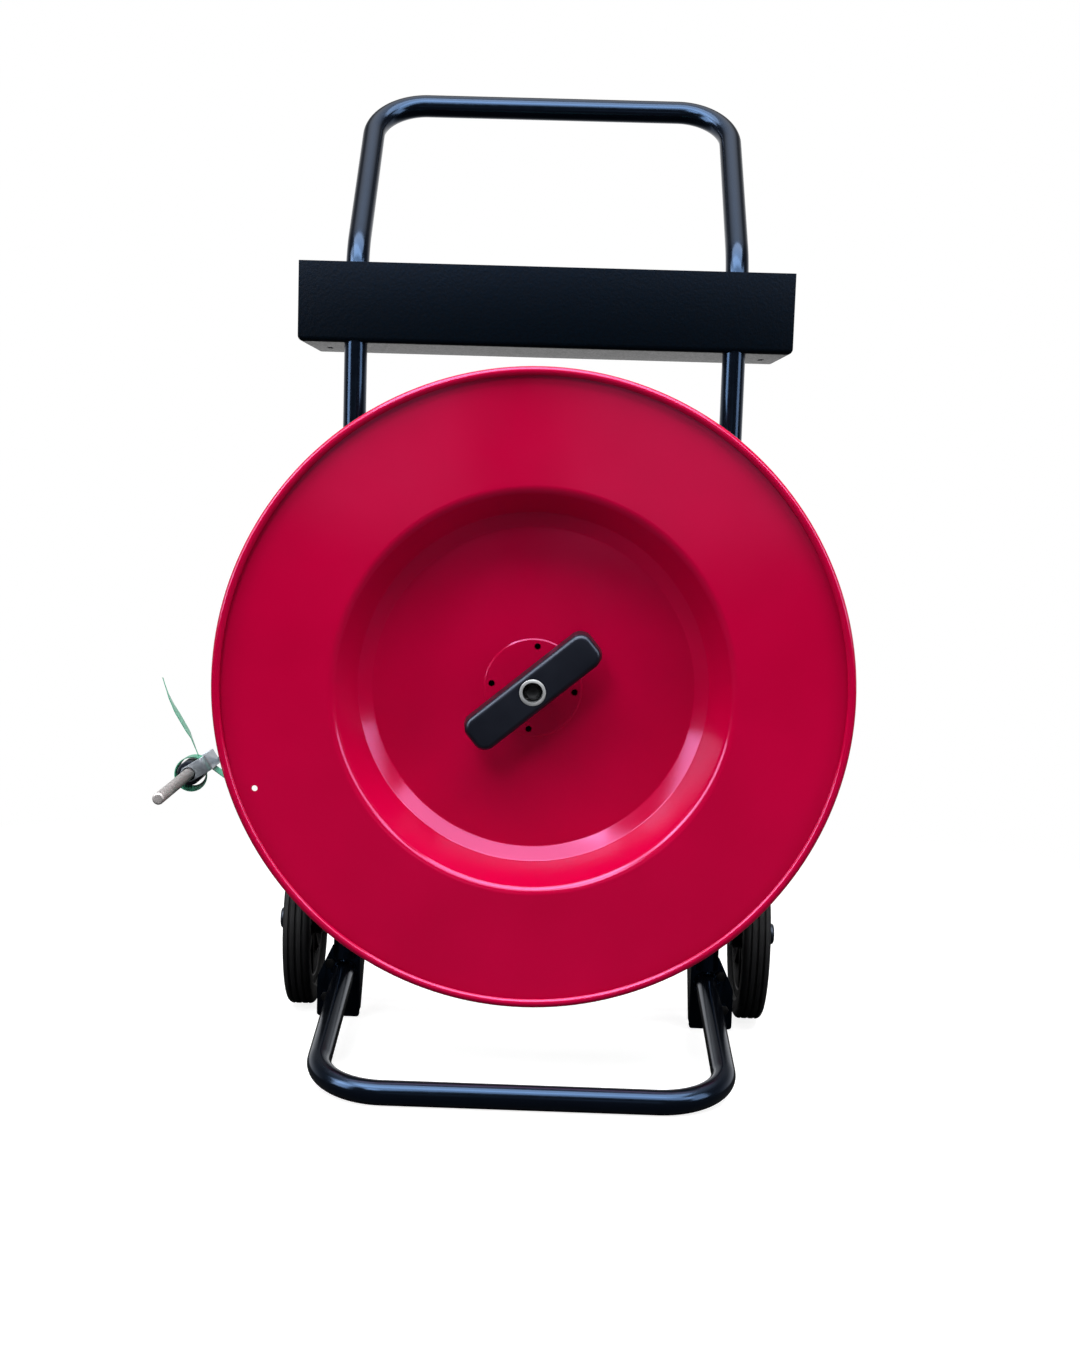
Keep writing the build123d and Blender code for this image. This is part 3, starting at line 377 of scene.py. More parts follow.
PAD_RUBBER = Rubber("woven_brake_lining", "2a2723", 0.9, second="3d3832")
STRAP_GREEN = StrapPlastic("green_embossed_polyester", "54ab8d", 0.28, second="8fcab0")
# Spiral-wound board: dull brown fibres.
GREY_BOARD = Finish(
    "spiral_wound_grey_board",
    "9b7f5c",
    0.85,
    second="7a6044",
    mottle=(1.6, 6.0),
    bumps=((1.6, 6.0, 0.08, 0.6),),
)


# ---------------------------------------------------------------- modelling by operators


class Domain(Enum):
    """What a selection picks: the operator's mode name and the mesh's list."""

    EDGES = ("EDGE", "edges")
    FACES = ("FACE", "faces")


def point(x: float, y: float, z: float) -> Vector:
    """A place given in millimetres, as a vector in metres."""
    return Vector((x, y, z)) * MM


def bearing(angle: float) -> Vector:
    """A unit vector in the XZ plane, by its angle in degrees from X towards Z."""
    return Vector((cos(radians(angle)), sin(radians(angle))))


def let_go() -> None:
    """Leaves edit mode with nothing selected."""
    if bpy.context.mode != "OBJECT":
        bpy.ops.object.mode_set(mode="OBJECT")
    bpy.ops.object.select_all(action="DESELECT")


def hold(piece: Piece) -> None:
    """Selects one object alone, in object mode, and makes it the active one."""
    let_go()
    piece.select_set(True)
    bpy.context.view_layer.objects.active = piece


def take(name: str) -> Piece:
    """Names the primitive that was just added and opens it in edit mode, selected all over."""
    piece = bpy.context.object
    piece.name = piece.data.name = name
    bpy.ops.object.transform_apply(location=True, rotation=True, scale=True)
    bpy.ops.object.mode_set(mode="EDIT")
    bpy.ops.mesh.select_mode(type="VERT")
    bpy.ops.mesh.select_all(action="SELECT")
    return piece


def select(piece: Piece, domain: Domain, test: Callable[[Vector], bool]) -> None:
    """Selects the parts of the mesh in edit mode that pass a test.

    Args:
        piece: The object in edit mode.
        domain: Edges or faces.
        test: Takes the middle of one of them in millimetres, and says whether it is picked.
    """
    mode, elements = domain.value
    bpy.ops.mesh.select_mode(type=mode)
    bpy.ops.mesh.select_all(action="DESELECT")
    mesh = bmesh.from_edit_mesh(piece.data)
    for item in getattr(mesh, elements):
        if test(sum((v.co for v in item.verts), Vector()) / len(item.verts) / MM):
            item.select_set(True)
    mesh.select_flush_mode()
    bmesh.update_edit_mesh(piece.data)


def trace(name: str, points: Sequence[Vector]) -> Piece:
    """Extrudes a vertex through points in metres, and leaves the line of edges selected in edit mode."""
    let_go()
    bpy.ops.mesh.primitive_plane_add(size=MM, location=points[0])
    piece = take(name)
    bpy.ops.mesh.merge(type="CENTER")
    for here, there in zip(points, points[1:]):
        bpy.ops.mesh.extrude_vertices_move(TRANSFORM_OT_translate={"value": there - here})
    bpy.ops.mesh.select_all(action="SELECT")
    return piece


def clean() -> None:
    """Merges doubles in the mesh in edit mode and turns its faces outwards."""
    bpy.ops.mesh.select_all(action="SELECT")
    bpy.ops.mesh.remove_doubles(threshold=0.005 * MM)
    bpy.ops.mesh.normals_make_consistent(inside=False)


def lathe(name: str, profile: Line, centre: Vector, axis: Vector, steps: int) -> Piece:
    """Turns a profile round a level axis.

    Args:
        name: The new object's name.
        profile: (radius, distance along the axis) points in millimetres.
        centre: The place on the axis that distances start from, in metres.
        axis: The axis, as a unit vector.
        steps: How many facets go round.

    Returns:
        The object, in edit mode and selected all over.
    """
    piece = trace(name, [centre + (AXIS_Z * r + axis * along) * MM for r, along in profile])
    bpy.ops.mesh.spin(steps=steps, angle=2 * pi, center=centre, axis=axis, use_auto_merge=True)
    clean()
    return piece


def ring_profile(outer: float, inner: float, length: float, edge: float) -> Line:
    """The closed profile of a ring from its bore outwards, with its outer edges broken by edge millimetres."""
    near, far = edge * 0.3, length - edge * 0.3
    points = [(inner, 0), (outer - edge, 0), (outer - near, near), (outer, edge)]
    points += [(outer, length - edge), (outer - near, far), (outer - edge, length), (inner, length)]
    return [*points, points[0]]


def rounded(points: Line, radii: Sequence[float], step: float) -> Line:
    """Rounds the inner corners of an open line in a plane.

    Args:
        points: The line's corners.
        radii: One radius for each corner between the ends.
        step: Degrees between points on an arc.

    Returns:
        The line's points, with arcs at its corners.
    """
    line = [tuple(points[0])]
    for before, corner, after, radius in zip(points, points[1:], points[2:], radii):
        back = Vector((before[0] - corner[0], before[1] - corner[1])).normalized()
        ahead = Vector((after[0] - corner[0], after[1] - corner[1])).normalized()
        half = acos(max(-1.0, min(1.0, back.dot(ahead)))) / 2
        if radius <= 0 or half > radians(89.9):
            line.append(tuple(corner))
            continue
        start = Vector(corner) + back * (radius / tan(half))
        centre = Vector(corner) + (back + ahead).normalized() * (radius / sin(half))
        turn = pi - 2 * half
        sense = 1 if back.x * ahead.y - back.y * ahead.x < 0 else -1
        count = max(2, round(degrees(turn) / step))
        for i in range(count + 1):
            line.append(tuple(centre + Matrix.Rotation(sense * turn * i / count, 2) @ (start - centre)))
    return [*line, tuple(points[-1])]


def slab(name: str, outline: Sequence[Vector], through: Vector) -> Piece:
    """Fills a closed outline and extrudes it.

    Args:
        name: The new object's name.
        outline: The outline's points in metres, in order.
        through: The extrusion in millimetres.

    Returns:
        The object, in edit mode and selected all over.
    """
    piece = trace(name, outline)
    bpy.ops.mesh.edge_face_add()
    bpy.ops.mesh.extrude_region_move(TRANSFORM_OT_translate={"value": through * MM})
    clean()
    return piece


def drum(name: str, start: Vector, axis: Vector, length: float, radius: float, sides: int) -> Piece:
    """Adds a solid round bar from a place along an axis.

    Args:
        name: The new object's name.
        start: The middle of its first end, in metres.
        axis: Its direction, as a unit vector.
        length: Its length in millimetres.
        radius: Its radius in millimetres.
        sides: How many facets go round.

    Returns:
        The object, in edit mode and selected all over.
    """
    let_go()
    bpy.ops.mesh.primitive_cylinder_add(
        vertices=sides,
        radius=radius * MM,
        depth=length * MM,
        location=start + axis * (length * MM / 2),
        rotation=AXIS_Z.rotation_difference(axis).to_euler(),
    )
    return take(name)


def apply_modifier(piece: Piece, kind: str, **settings: object) -> None:
    """Adds a modifier with its settings and applies it."""
    hold(piece)
    made = piece.modifiers.new(kind.title(), kind)
    for name, value in settings.items():
        setattr(made, name, value)
    bpy.ops.object.modifier_apply(modifier=made.name)


def thicken(piece: Piece, thickness: float, offset: int) -> None:
    """Gives a surface a thickness in millimetres, to its inside for an offset of -1 and to both sides for 0."""
    apply_modifier(piece, "SOLIDIFY", thickness=thickness * MM, offset=offset, use_even_offset=True)


def bevel_edges(piece: Piece, size: float) -> None:
    """Rounds every edge that is sharper than 30 degrees, by a size in millimetres."""
    limit = {"limit_method": "ANGLE", "angle_limit": radians(30)}
    apply_modifier(piece, "BEVEL", width=size * MM, segments=2, **limit)


def combine(piece: Piece, other: Piece, operation: str = "DIFFERENCE") -> None:
    """Cuts the other shape out of the piece, or adds it with UNION, and deletes the other."""
    apply_modifier(piece, "BOOLEAN", operation=operation, object=other, solver="EXACT")
    bpy.data.objects.remove(other)


def join(pieces: Sequence[Piece], name: str) -> Piece:
    """Joins several objects into one, under a name."""
    let_go()
    for piece in pieces:
        piece.select_set(True)
    bpy.context.view_layer.objects.active = pieces[0]
    bpy.ops.object.join()
    pieces[0].name = pieces[0].data.name = name
    return pieces[0]


def copy_moved(piece: Piece, name: str, matrix: Matrix) -> Piece:
    """Copies a piece, mesh and all, and moves the copy's mesh by a matrix in metres."""
    let_go()
    twin = piece.copy()
    twin.data = piece.data.copy()
    twin.name = twin.data.name = name
    bpy.context.scene.collection.objects.link(twin)
    twin.data.transform(matrix)
    return twin


@lru_cache(maxsize=None)
def material_of(finish: Finish) -> bpy.types.Material:
    """The finish's material, which is made once."""
    return finish.make()


@dataclass(frozen=True)
class Dressing:
    """How a piece is dressed: its body, its finish, the record's slot and the CAD nodes it stands for.

    The body is None for a piece that is tied to no body, such as the spring between two bodies.
    """

    body: Body | None
    finish: Finish
    slot: Slot
    nodes: tuple[str, ...] = ()
    smooth: float = 32.0

    def put_on(self, piece: Piece) -> None:
        """Shades the piece, gives it its finish and ties it to the frame."""
        hold(piece)
        bpy.ops.object.shade_smooth_by_angle(angle=radians(self.smooth))
        piece.data.materials.clear()
        piece.data.materials.append(material_of(self.finish))
        if self.body:
            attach(piece, self.body.value)
        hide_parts(*self.nodes)
        LOG.info("%s: %d faces", piece.name, len(piece.data.polygons))


def refined_copy(node: str, name: str, edge: float) -> Piece:
    """Copies a CAD node, merges its loose triangles into flat faces and rounds its edges.

    Args:
        node: The CAD node's name.
        name: The new piece's name.
        edge: How far the edges are rounded in millimetres, or 0 to leave them.

    Returns:
        The new piece, in object mode.
    """
    piece = copy_moved(bpy.data.objects[node], name, Matrix.Identity(4))
    piece.parent = None
    for key in list(piece.keys()):
        del piece[key]
    hold(piece)
    bpy.ops.object.mode_set(mode="EDIT")
    clean()
    bpy.ops.mesh.dissolve_limited(angle_limit=radians(1.0), delimit={"NORMAL"})
    if edge > 0:
        bevel_edges(piece, edge)
    let_go()
    return piece


def refine(body: Body, edge: float, *parts: tuple[str, str, Finish, Slot]) -> None:
    """Dresses refined copies of CAD nodes, each by its node, the new name's suffix, finish and slot."""
    for node, suffix, finish, slot in parts:
        Dressing(body, finish, slot, (node,)).put_on(refined_copy(node, f"{node}_{suffix}", edge))


# ---------------------------------------------------------------- tube, wire and strap


@dataclass(frozen=True)
class Tube:
    """Round steel tube that is drawn from an open end along straight runs and bends."""

    diameter: float
    wall: float = 2.0
    sides: int = 48
    bend_step: float = 4.0

    def draw(self, name: str, corners: Sequence[Vector], radii: Sequence[float]) -> Piece:
        """Draws the tube through its corners.

        Args:
            name: The new object's name.
            corners: Where the straight runs meet, in metres, with both ends.
            radii: The centreline radius of the bend at each inner corner, in millimetres.

        Returns:
            The tube with its wall, in object mode.
        """
        let_go()
        heading = (corners[1] - corners[0]).normalized()
        turn = AXIS_Z.rotation_difference(heading).to_euler()
        bpy.ops.mesh.primitive_circle_add(
            vertices=self.sides, radius=self.diameter / 2 * MM, location=corners[0], rotation=turn
        )
        piece = take(name)
        here = corners[0]
        for corner, after, radius in zip(corners[1:-1], corners[2:], radii):
            ahead = (after - corner).normalized()
            angle = heading.angle(ahead)
            set_back = radius * MM * tan(angle / 2)
            bend_start = corner - heading * set_back
            bpy.ops.mesh.extrude_edges_move(TRANSFORM_OT_translate={"value": bend_start - here})
            axis = heading.cross(ahead).normalized()
            centre = bend_start + axis.cross(heading) * radius * MM
            steps = max(2, round(degrees(angle) / self.bend_step))
            # Spin turns clockwise about its axis.
            bpy.ops.mesh.spin(steps=steps, angle=angle, center=centre, axis=-axis)
            here, heading = corner + ahead * set_back, ahead
        bpy.ops.mesh.extrude_edges_move(TRANSFORM_OT_translate={"value": corners[-1] - here})
        clean()
        thicken(piece, self.wall, -1)
        return piece


def bent_wire(name: str, points: Sequence[Vector], radius: float, ripple: float = 0.0) -> Piece:
    """Draws round wire along an open line, or lays a weld bead along a closed one.

    Args:
        name: The new object's name.
        points: The line's points in metres, evenly spaced for a bead.
        radius: The wire's or the bead's radius in millimetres.
        ripple: How much a bead's radius swells and shrinks along it. Wire has none.

    Returns:
        The wire with closed ends or the endless bead, in object mode.
    """
    piece = trace(name, points)
    if ripple:
        bpy.ops.mesh.edge_face_add()
        bpy.ops.mesh.delete(type="ONLY_FACE")
    hold(piece)
    bpy.ops.object.convert(target="CURVE")
    curve = bpy.context.object.data
    curve.bevel_depth = radius * MM
    curve.bevel_resolution = 2 if ripple else 3
    curve.use_fill_caps = not ripple
    for i, spot in enumerate(curve.splines[0].points):
        spot.radius = 1 + ripple * cos(i * pi / 2)
    bpy.ops.object.convert(target="MESH")
    made = bpy.context.object
    made.name = made.data.name = name
    if not ripple:
        bpy.ops.object.mode_set(mode="EDIT")
        clean()
    let_go()
    return made


def ribbon(name: str, rows: Sequence[tuple[Vector, Vector]], thickness: float) -> Piece:
    """Draws a flat strip by extruding its end edge from row to row, and maps it by its length and width.

    Args:
        name: The new object's name.
        rows: The strip's two edges at each place along it, in metres.
        thickness: Its thickness in millimetres.

    Returns:
        The strip, in object mode.
    """
    piece = trace(name, rows[0])
    mesh = piece.data
    along, table = 0.0, {}
    bpy.ops.mesh.select_mode(type="EDGE")
    for row, after in zip(rows, rows[1:]):
        bpy.ops.mesh.extrude_edges_move(TRANSFORM_OT_translate={"value": (0, 0, 0)})
        for vert in bmesh.from_edit_mesh(mesh).verts:
            if vert.select:
                vert.co = after[0 if (vert.co - row[0]).length < (vert.co - row[1]).length else 1]
        bmesh.update_edit_mesh(mesh)
    bpy.ops.mesh.select_all(action="SELECT")
    bpy.ops.mesh.normals_make_consistent(inside=False)
    let_go()
    for before, row in zip([rows[0], *rows], rows):
        along += ((sum(row, Vector()) - sum(before, Vector())) / 2).length
        for side, spot in enumerate(row):
            table[tuple(round(c, 6) for c in spot)] = (along, side * (row[1] - row[0]).length)
    layer = mesh.uv_layers.new(name="length_and_width")
    for loop in mesh.loops:
        layer.data[loop.index].uv = table[tuple(round(c, 6) for c in mesh.vertices[loop.vertex_index].co)]
    thicken(piece, thickness, 0)
    return piece


def wrap_uv(piece: Piece, centre: Vector) -> None:
    """Maps a wound shape by its length round an axis along Y and its width, and its flat ends by their radius.

    Args:
        piece: The shape, in object mode.
        centre: A place on the axis, in metres.
    """
    mesh = piece.data
    layer = mesh.uv_layers.new(name="length_and_width")
    for face in mesh.polygons:
        middle = face.center - centre
        facing = atan2(middle.z, middle.x)
        flat_end = abs(face.normal.y) > 0.9
        for index in face.loop_indices:
            arm = mesh.vertices[mesh.loops[index].vertex_index].co - centre
            radius = Vector((arm.x, arm.z)).length
            turn = (atan2(arm.z, arm.x) - facing + pi) % (2 * pi) - pi
            layer.data[index].uv = (radius, 0) if flat_end else ((facing + turn) * radius, arm.y)


# ---------------------------------------------------------------- shared places


@dataclass(frozen=True)
class Box:
    """The box round a CAD node, in millimetres."""

    low: Vector
    high: Vector

    @classmethod
    def of(cls, node: str) -> Box:
        """Reads the node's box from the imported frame."""
        return cls(*(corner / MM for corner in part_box(node)))

    @property
    def middle(self) -> Vector:
        """The middle of the box."""
        return (self.low + self.high) / 2

    @property
    def size(self) -> Vector:
        """The box's width, depth and height."""
        return self.high - self.low


@dataclass(frozen=True)
class Layout:
    """The places that several sub-assemblies share, in millimetres, read from the CAD nodes' boxes."""

    reel_z: float
    tube_d: float
    upright_x: float
    upright_y: float
    axle_y: float
    axle_z: float
    wheel_x: float

    @classmethod
    def from_frame(cls) -> Layout:
        """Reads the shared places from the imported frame."""
        member, tyre = Box.of("crossmember"), Box.of("tyre_right").middle
        return cls(
            reel_z=Box.of("spindle").middle.z,
            tube_d=member.size.z,
            upright_x=(Box.of("upper_bow").size.x - member.size.z) / 2,
            upright_y=member.middle.y,
            axle_y=tyre.y,
            axle_z=tyre.z,
            wheel_x=tyre.x,
        )

    def reel_at(self, y: float) -> Vector:
        """The place on the reel's axis at this depth, in metres."""
        return point(0, y, self.reel_z)


# ---------------------------------------------------------------- cart frame


@dataclass
class TubeFrame:
    """The bent tubes: the upper bow with its handle, the foot loop, the crossmember and their welds."""

    layout: Layout
    upright_end_z: float = 70.0
    knee_z: float = 852.0
    handle_back: float = 195.0
    handle_z: float = 1047.0
    knee_r: float = 75.0
    handle_r: float = 60.0
    foot_rise: float = 8.0
    foot_r: float = 70.0
    plate_t: float = 4.0
    bead_r: float = 2.0
    bead_ripple: float = 0.14

    def build(self) -> None:
        """Builds the tubes and lays their welds."""
        for node, draw in (
            (("upper_bow",), self.upper_bow),
            (("foot_loop",), self.foot_loop),
            (("crossmember",), self.crossmember),
            ((), self.welds),
        ):
            Dressing(Body.CART, BLACK_ENAMEL, Slot.BLACK_PAINT, node).put_on(draw())

    def upper_bow(self) -> Piece:
        """Draws the uprights and the handle as one bent tube with open ends."""
        x, y = self.layout.upright_x, self.layout.upright_y
        half = [(x, y, self.upright_end_z), (x, y, self.knee_z), (x, y + self.handle_back, self.handle_z)]
        corners = [point(-x, y, z) for x, y, z in half] + [point(*corner) for corner in reversed(half)]
        radii = [self.knee_r, self.handle_r, self.handle_r, self.knee_r]
        return Tube(self.layout.tube_d).draw("upper_bow_tube", corners, radii)

    def side_tube_end(self) -> tuple[float, float]:
        """The depth and height at which the side tubes' middle lines meet the foot plates."""
        end_y = self.layout.upright_y - self.plate_t / 2
        return end_y, self.layout.tube_d / 2 + end_y * tan(radians(self.foot_rise))

    def foot_loop(self) -> Piece:
        """Draws the foot bar and the two side tubes that climb to the foot plates."""
        x, foot_z = self.layout.upright_x, self.layout.tube_d / 2
        end_y, end_z = self.side_tube_end()
        corners = [point(-x, end_y, end_z), point(-x, 0, foot_z), point(x, 0, foot_z), point(x, end_y, end_z)]
        return Tube(self.layout.tube_d).draw("foot_loop_tube", corners, [self.foot_r, self.foot_r])

    def crossmember(self) -> Piece:
        """Draws the tube between the uprights and copes its ends round them."""
        x, y, z = self.layout.upright_x, self.layout.upright_y, self.layout.reel_z
        bar = Tube(self.layout.tube_d).draw("crossmember_tube", [point(-x, y, z), point(x, y, z)], [])
        for _, side in SIDES:
            cope_r = self.layout.tube_d / 2 - 0.3
            combine(bar, drum("cope", point(side * x, y, z - 40), AXIS_Z, 80, cope_r, 64))
        return bar

    def welds(self) -> Piece:
        """Lays a bead where each tube meets the next, at the crossmember's ends and the side tubes' ends."""
        beads = []
        x, y, z = self.layout.upright_x, self.layout.upright_y, self.layout.reel_z
        r = self.layout.tube_d / 2
        end_y, end_z = self.side_tube_end()
        tall_r = (r + 0.5) / cos(radians(self.foot_rise))
        turns = [2 * pi * i / 120 for i in range(120)]
        for name, side in SIDES:
            saddle = [point(side * (x - r * abs(cos(t))), y + r * sin(t), z + r * cos(t)) for t in turns]
            butt = [point(side * x + (r + 0.5) * sin(t), end_y - 0.3, end_z + tall_r * cos(t)) for t in turns]
            for where, line in (("crossmember", saddle), ("side_tube", butt)):
                beads.append(bent_wire(f"{where}_bead_{name}", line, self.bead_r, self.bead_ripple))
        return join(beads, "frame_welds")


# ---------------------------------------------------------------- reel


@dataclass
class DiscPressing:
    """A dished steel disc with a rolled rim, pressed from sheet."""

    layout: Layout
    node: str
    body: Body
    rim_y: float
    inward: int
    radius: float = 320.0
    sheet: float = 1.5
    curl_d: float = 9.0
    mouth_r: float = 199.7
    dish_depth: float = 49.0
    wall_angle: float = 27.4
    floor_fillet: float = 16.8
    crease_r: float = 4.5
    mouth_fillet: float = 10.1
    bore_r: float = 13.6
    emboss_r: float = 49.5
    emboss: float = 0.8
    screw_pcd: float = 85.2
    screw_hole_d: float = 6.6
    screw_turn: float = -4.5
    hook_hole_d: float = 6.0
    hook_hole_r: float = 295.0
    hook_hole_angle: float = 200.8

    def profile(self) -> Line:
        """The sheet's middle line from the bore to the rolled rim's lip, as radii and depths from the front."""
        half = self.sheet / 2
        face = self.curl_d - half
        floor = face + self.dish_depth
        curl_r = self.curl_d / 2
        curl_mid = curl_r - half
        centre_r = self.radius - curl_r
        corner_r = self.mouth_r - self.dish_depth * tan(radians(self.wall_angle))
        # The foot of the dish wall is a narrow cone between two soft creases.
        slope = radians(self.wall_angle)
        reach = self.floor_fillet * tan((pi / 2 - slope) / 2)
        corners = [
            (self.bore_r, floor - self.emboss),
            (self.emboss_r - self.emboss, floor - self.emboss),
            (self.emboss_r + self.emboss, floor),
            (corner_r - reach, floor),
            (corner_r + reach * sin(slope), floor - reach * cos(slope)),
            (self.mouth_r, face),
            (centre_r, face),
        ]
        radii = [self.sheet, self.sheet, self.crease_r, self.crease_r, self.mouth_fillet]
        # The rim is rolled through 250 degrees.
        turns = [radians(-90 + 10 * i) for i in range(1, 26)]
        curl = [(centre_r + curl_mid * cos(turn), curl_r - curl_mid * sin(turn)) for turn in turns]
        return [*rounded(corners, radii, step=4.0), *curl]

    def build(self) -> None:
        """Presses the disc and drills its holes."""
        profile = [(r, self.inward * depth) for r, depth in self.profile()]
        disc = lathe(f"{self.node}_pressing", profile, self.layout.reel_at(self.rim_y), AXIS_Y, steps=192)
        thicken(disc, self.sheet, 0)
        floor_y = self.rim_y + self.inward * (self.curl_d + self.dish_depth)
        for i in range(4):
            self.drill(disc, self.screw_pcd / 2, self.screw_turn + 90 * i, self.screw_hole_d, floor_y)
        face_y = self.rim_y + self.inward * self.curl_d
        self.drill(disc, self.hook_hole_r, self.hook_hole_angle, self.hook_hole_d, face_y)
        Dressing(self.body, RED_ENAMEL, Slot.RED_PAINT, (self.node,), smooth=40).put_on(disc)

    def drill(self, disc: Piece, r: float, angle: float, hole_d: float, y: float) -> None:
        """Drills one hole through the sheet near depth y."""
        x, z = bearing(angle) * r
        combine(disc, drum("drill", point(x, y - 6, self.layout.reel_z + z), AXIS_Y, 12, hole_d / 2, 24))


@dataclass
class Hub:
    """The reel's centre: the bright hub tube, its bushes and flange, and the fixed spindle they run on."""

    layout: Layout
    edge: float = 0.5

    def build(self) -> None:
        """Builds the hub tube and refines the small turned parts."""
        tube = Box.of("hub_tube")
        profile = ring_profile(tube.size.x / 2, Box.of("hub_bush_rear").size.x / 2, tube.size.y, 0.8)
        end = lathe("hub_tube_end", profile, self.layout.reel_at(tube.low.y), AXIS_Y, 72)
        Dressing(Body.REEL, HUB_STEEL, Slot.BRIGHT_STEEL, ("hub_tube",)).put_on(end)
        refine(
            Body.CART,
            self.edge,
            # The spindle, its washer and its screw are near-black: painted shade of the dark bore they sit in.
            ("spindle", "turned", DARK_STEEL_AND_BORE_SHADE, Slot.BRIGHT_STEEL),
            ("thrust_washer", "turned", NATURAL_ACETAL, Slot.BEARING),
            ("spindle_washer", "turned", DARK_STEEL_AND_BORE_SHADE, Slot.ZINC),
            ("spindle_screw", "turned", DARK_STEEL_AND_BORE_SHADE, Slot.ZINC),
        )
        refine(
            Body.REEL,
            self.edge,
            ("hub_bush_front", "turned", NATURAL_ACETAL, Slot.BEARING),
            ("hub_bush_rear", "turned", NATURAL_ACETAL, Slot.BEARING),
            ("hub_flange", "turned", BLACK_ENAMEL, Slot.BLACK_PAINT),
            ("flange_screws", "turned", ZINC, Slot.ZINC),
            ("spacer_sleeve", "turned", ZINC, Slot.ZINC),
        )


@dataclass
class ClampHandle:
    """The moulded bar handle that screws onto the hub tube and holds the front disc."""

    layout: Layout
    length: float = 159.5
    width: float = 40.5
    thickness: float = 26.0
    corner_r: float = 13.5
    draft: float = 3.5
    angle: float = 40.0
    boss_d: float = 35.0
    edge_r: float = 5.0

    def build(self) -> None:
        """Moulds the bar with its draft and rounded face, and bores it for the hub tube."""
        box = Box.of("clamp_handle")
        front, back = box.low.y, box.low.y + self.thickness
        across, along = self.width / 2, self.length / 2
        corners = [(along, 0), (along, across), (-along, across)]
        corners += [(-along, -across), (along, -across), (along, 0)]
        flat = rounded(corners, [self.corner_r] * 4, step=6.0)[:-1]
        outline = [point(x, back, self.layout.reel_z + z) for x, z in flat]
        handle = slab("clamp_handle_moulding", outline, -AXIS_Y * self.thickness)
        select(handle, Domain.FACES, lambda middle: middle.y < front + 0.1)
        taper = self.thickness * tan(radians(self.draft))
        shrink = (1 - taper / along, 1, 1 - taper / across)
        bpy.ops.transform.resize(value=shrink, center_override=self.layout.reel_at(front))
        bpy.ops.mesh.bevel(offset=self.edge_r * MM, segments=8, affect="EDGES")
        let_go()
        centre = Matrix.Translation(self.layout.reel_at(0))
        handle.data.transform(centre @ Matrix.Rotation(-radians(self.angle), 4, "Y") @ centre.inverted())
        boss_y, boss_l = back - 3, box.high.y - back + 3
        boss = drum("clamp_boss", self.layout.reel_at(boss_y), AXIS_Y, boss_l, self.boss_d / 2, 72)
        bevel_edges(boss, 1.0)
        combine(handle, boss, "UNION")
        bore_r = Box.of("hub_tube").size.x / 2 + 0.1
        combine(handle, drum("bore", self.layout.reel_at(front - 2), AXIS_Y, box.size.y + 4, bore_r, 72))
        Dressing(Body.CLAMP, BLACK_NYLON, Slot.BLACK_PLASTIC, ("clamp_handle",)).put_on(handle)


@dataclass
class StrapCoil:
    """The coil of strap: a wound body whose last layer lies side by side in a helix, on its paperboard core."""

    layout: Layout
    strap_w: float = 16.0
    strap_t: float = 0.9
    pitch: float = 16.6
    steps: int = 160

    def build(self) -> None:
        """Winds the body and its last layer, and refines the core."""
        box = Box.of("strap_coil")
        start = self.layout.reel_at(box.low.y)
        under = box.size.x / 2 - self.strap_t
        profile = ring_profile(under, Box.of("coil_core").size.x / 2, box.size.y, 0.6)
        body = lathe("strap_windings", profile, start, AXIS_Y, self.steps)
        coil = join([body, self.last_layer(under, start, box.size.y)], "strap_coil_wound")
        wrap_uv(coil, start)
        Dressing(Body.REEL, STRAP_GREEN, Slot.STRAP, ("strap_coil",)).put_on(coil)
        refine(Body.REEL, 0.4, ("coil_core", "board", GREY_BOARD, Slot.CARD))

    def last_layer(self, under: float, start: Vector, width: float) -> Piece:
        """Winds the last layer in a helix round the body.

        Args:
            under: The radius it lies on, in millimetres.
            start: The place on the axis where it starts, in metres.
            width: The coil's width in millimetres.

        Returns:
            The layer, in object mode.
        """
        turns = (width - self.strap_w) / self.pitch
        outer = under + self.strap_t
        section = [(under, 0), (outer, 0), (outer, self.strap_w), (under, self.strap_w)]
        piece = trace("strap_last_layer", [point(r, 0, along) for r, along in section])
        bpy.ops.mesh.edge_face_add()
        steps = round(self.steps * turns)
        advance = {"angle": 2 * pi * turns, "screw_offset": self.pitch * turns * MM}
        apply_modifier(piece, "SCREW", steps=steps, render_steps=steps, use_smooth_shade=False, **advance)
        piece.data.transform(Matrix.Translation(start) @ Matrix.Rotation(-pi / 2, 4, "X"))
        bpy.ops.object.mode_set(mode="EDIT")
        clean()
        let_go()
        return piece


# ---------------------------------------------------------------- tray


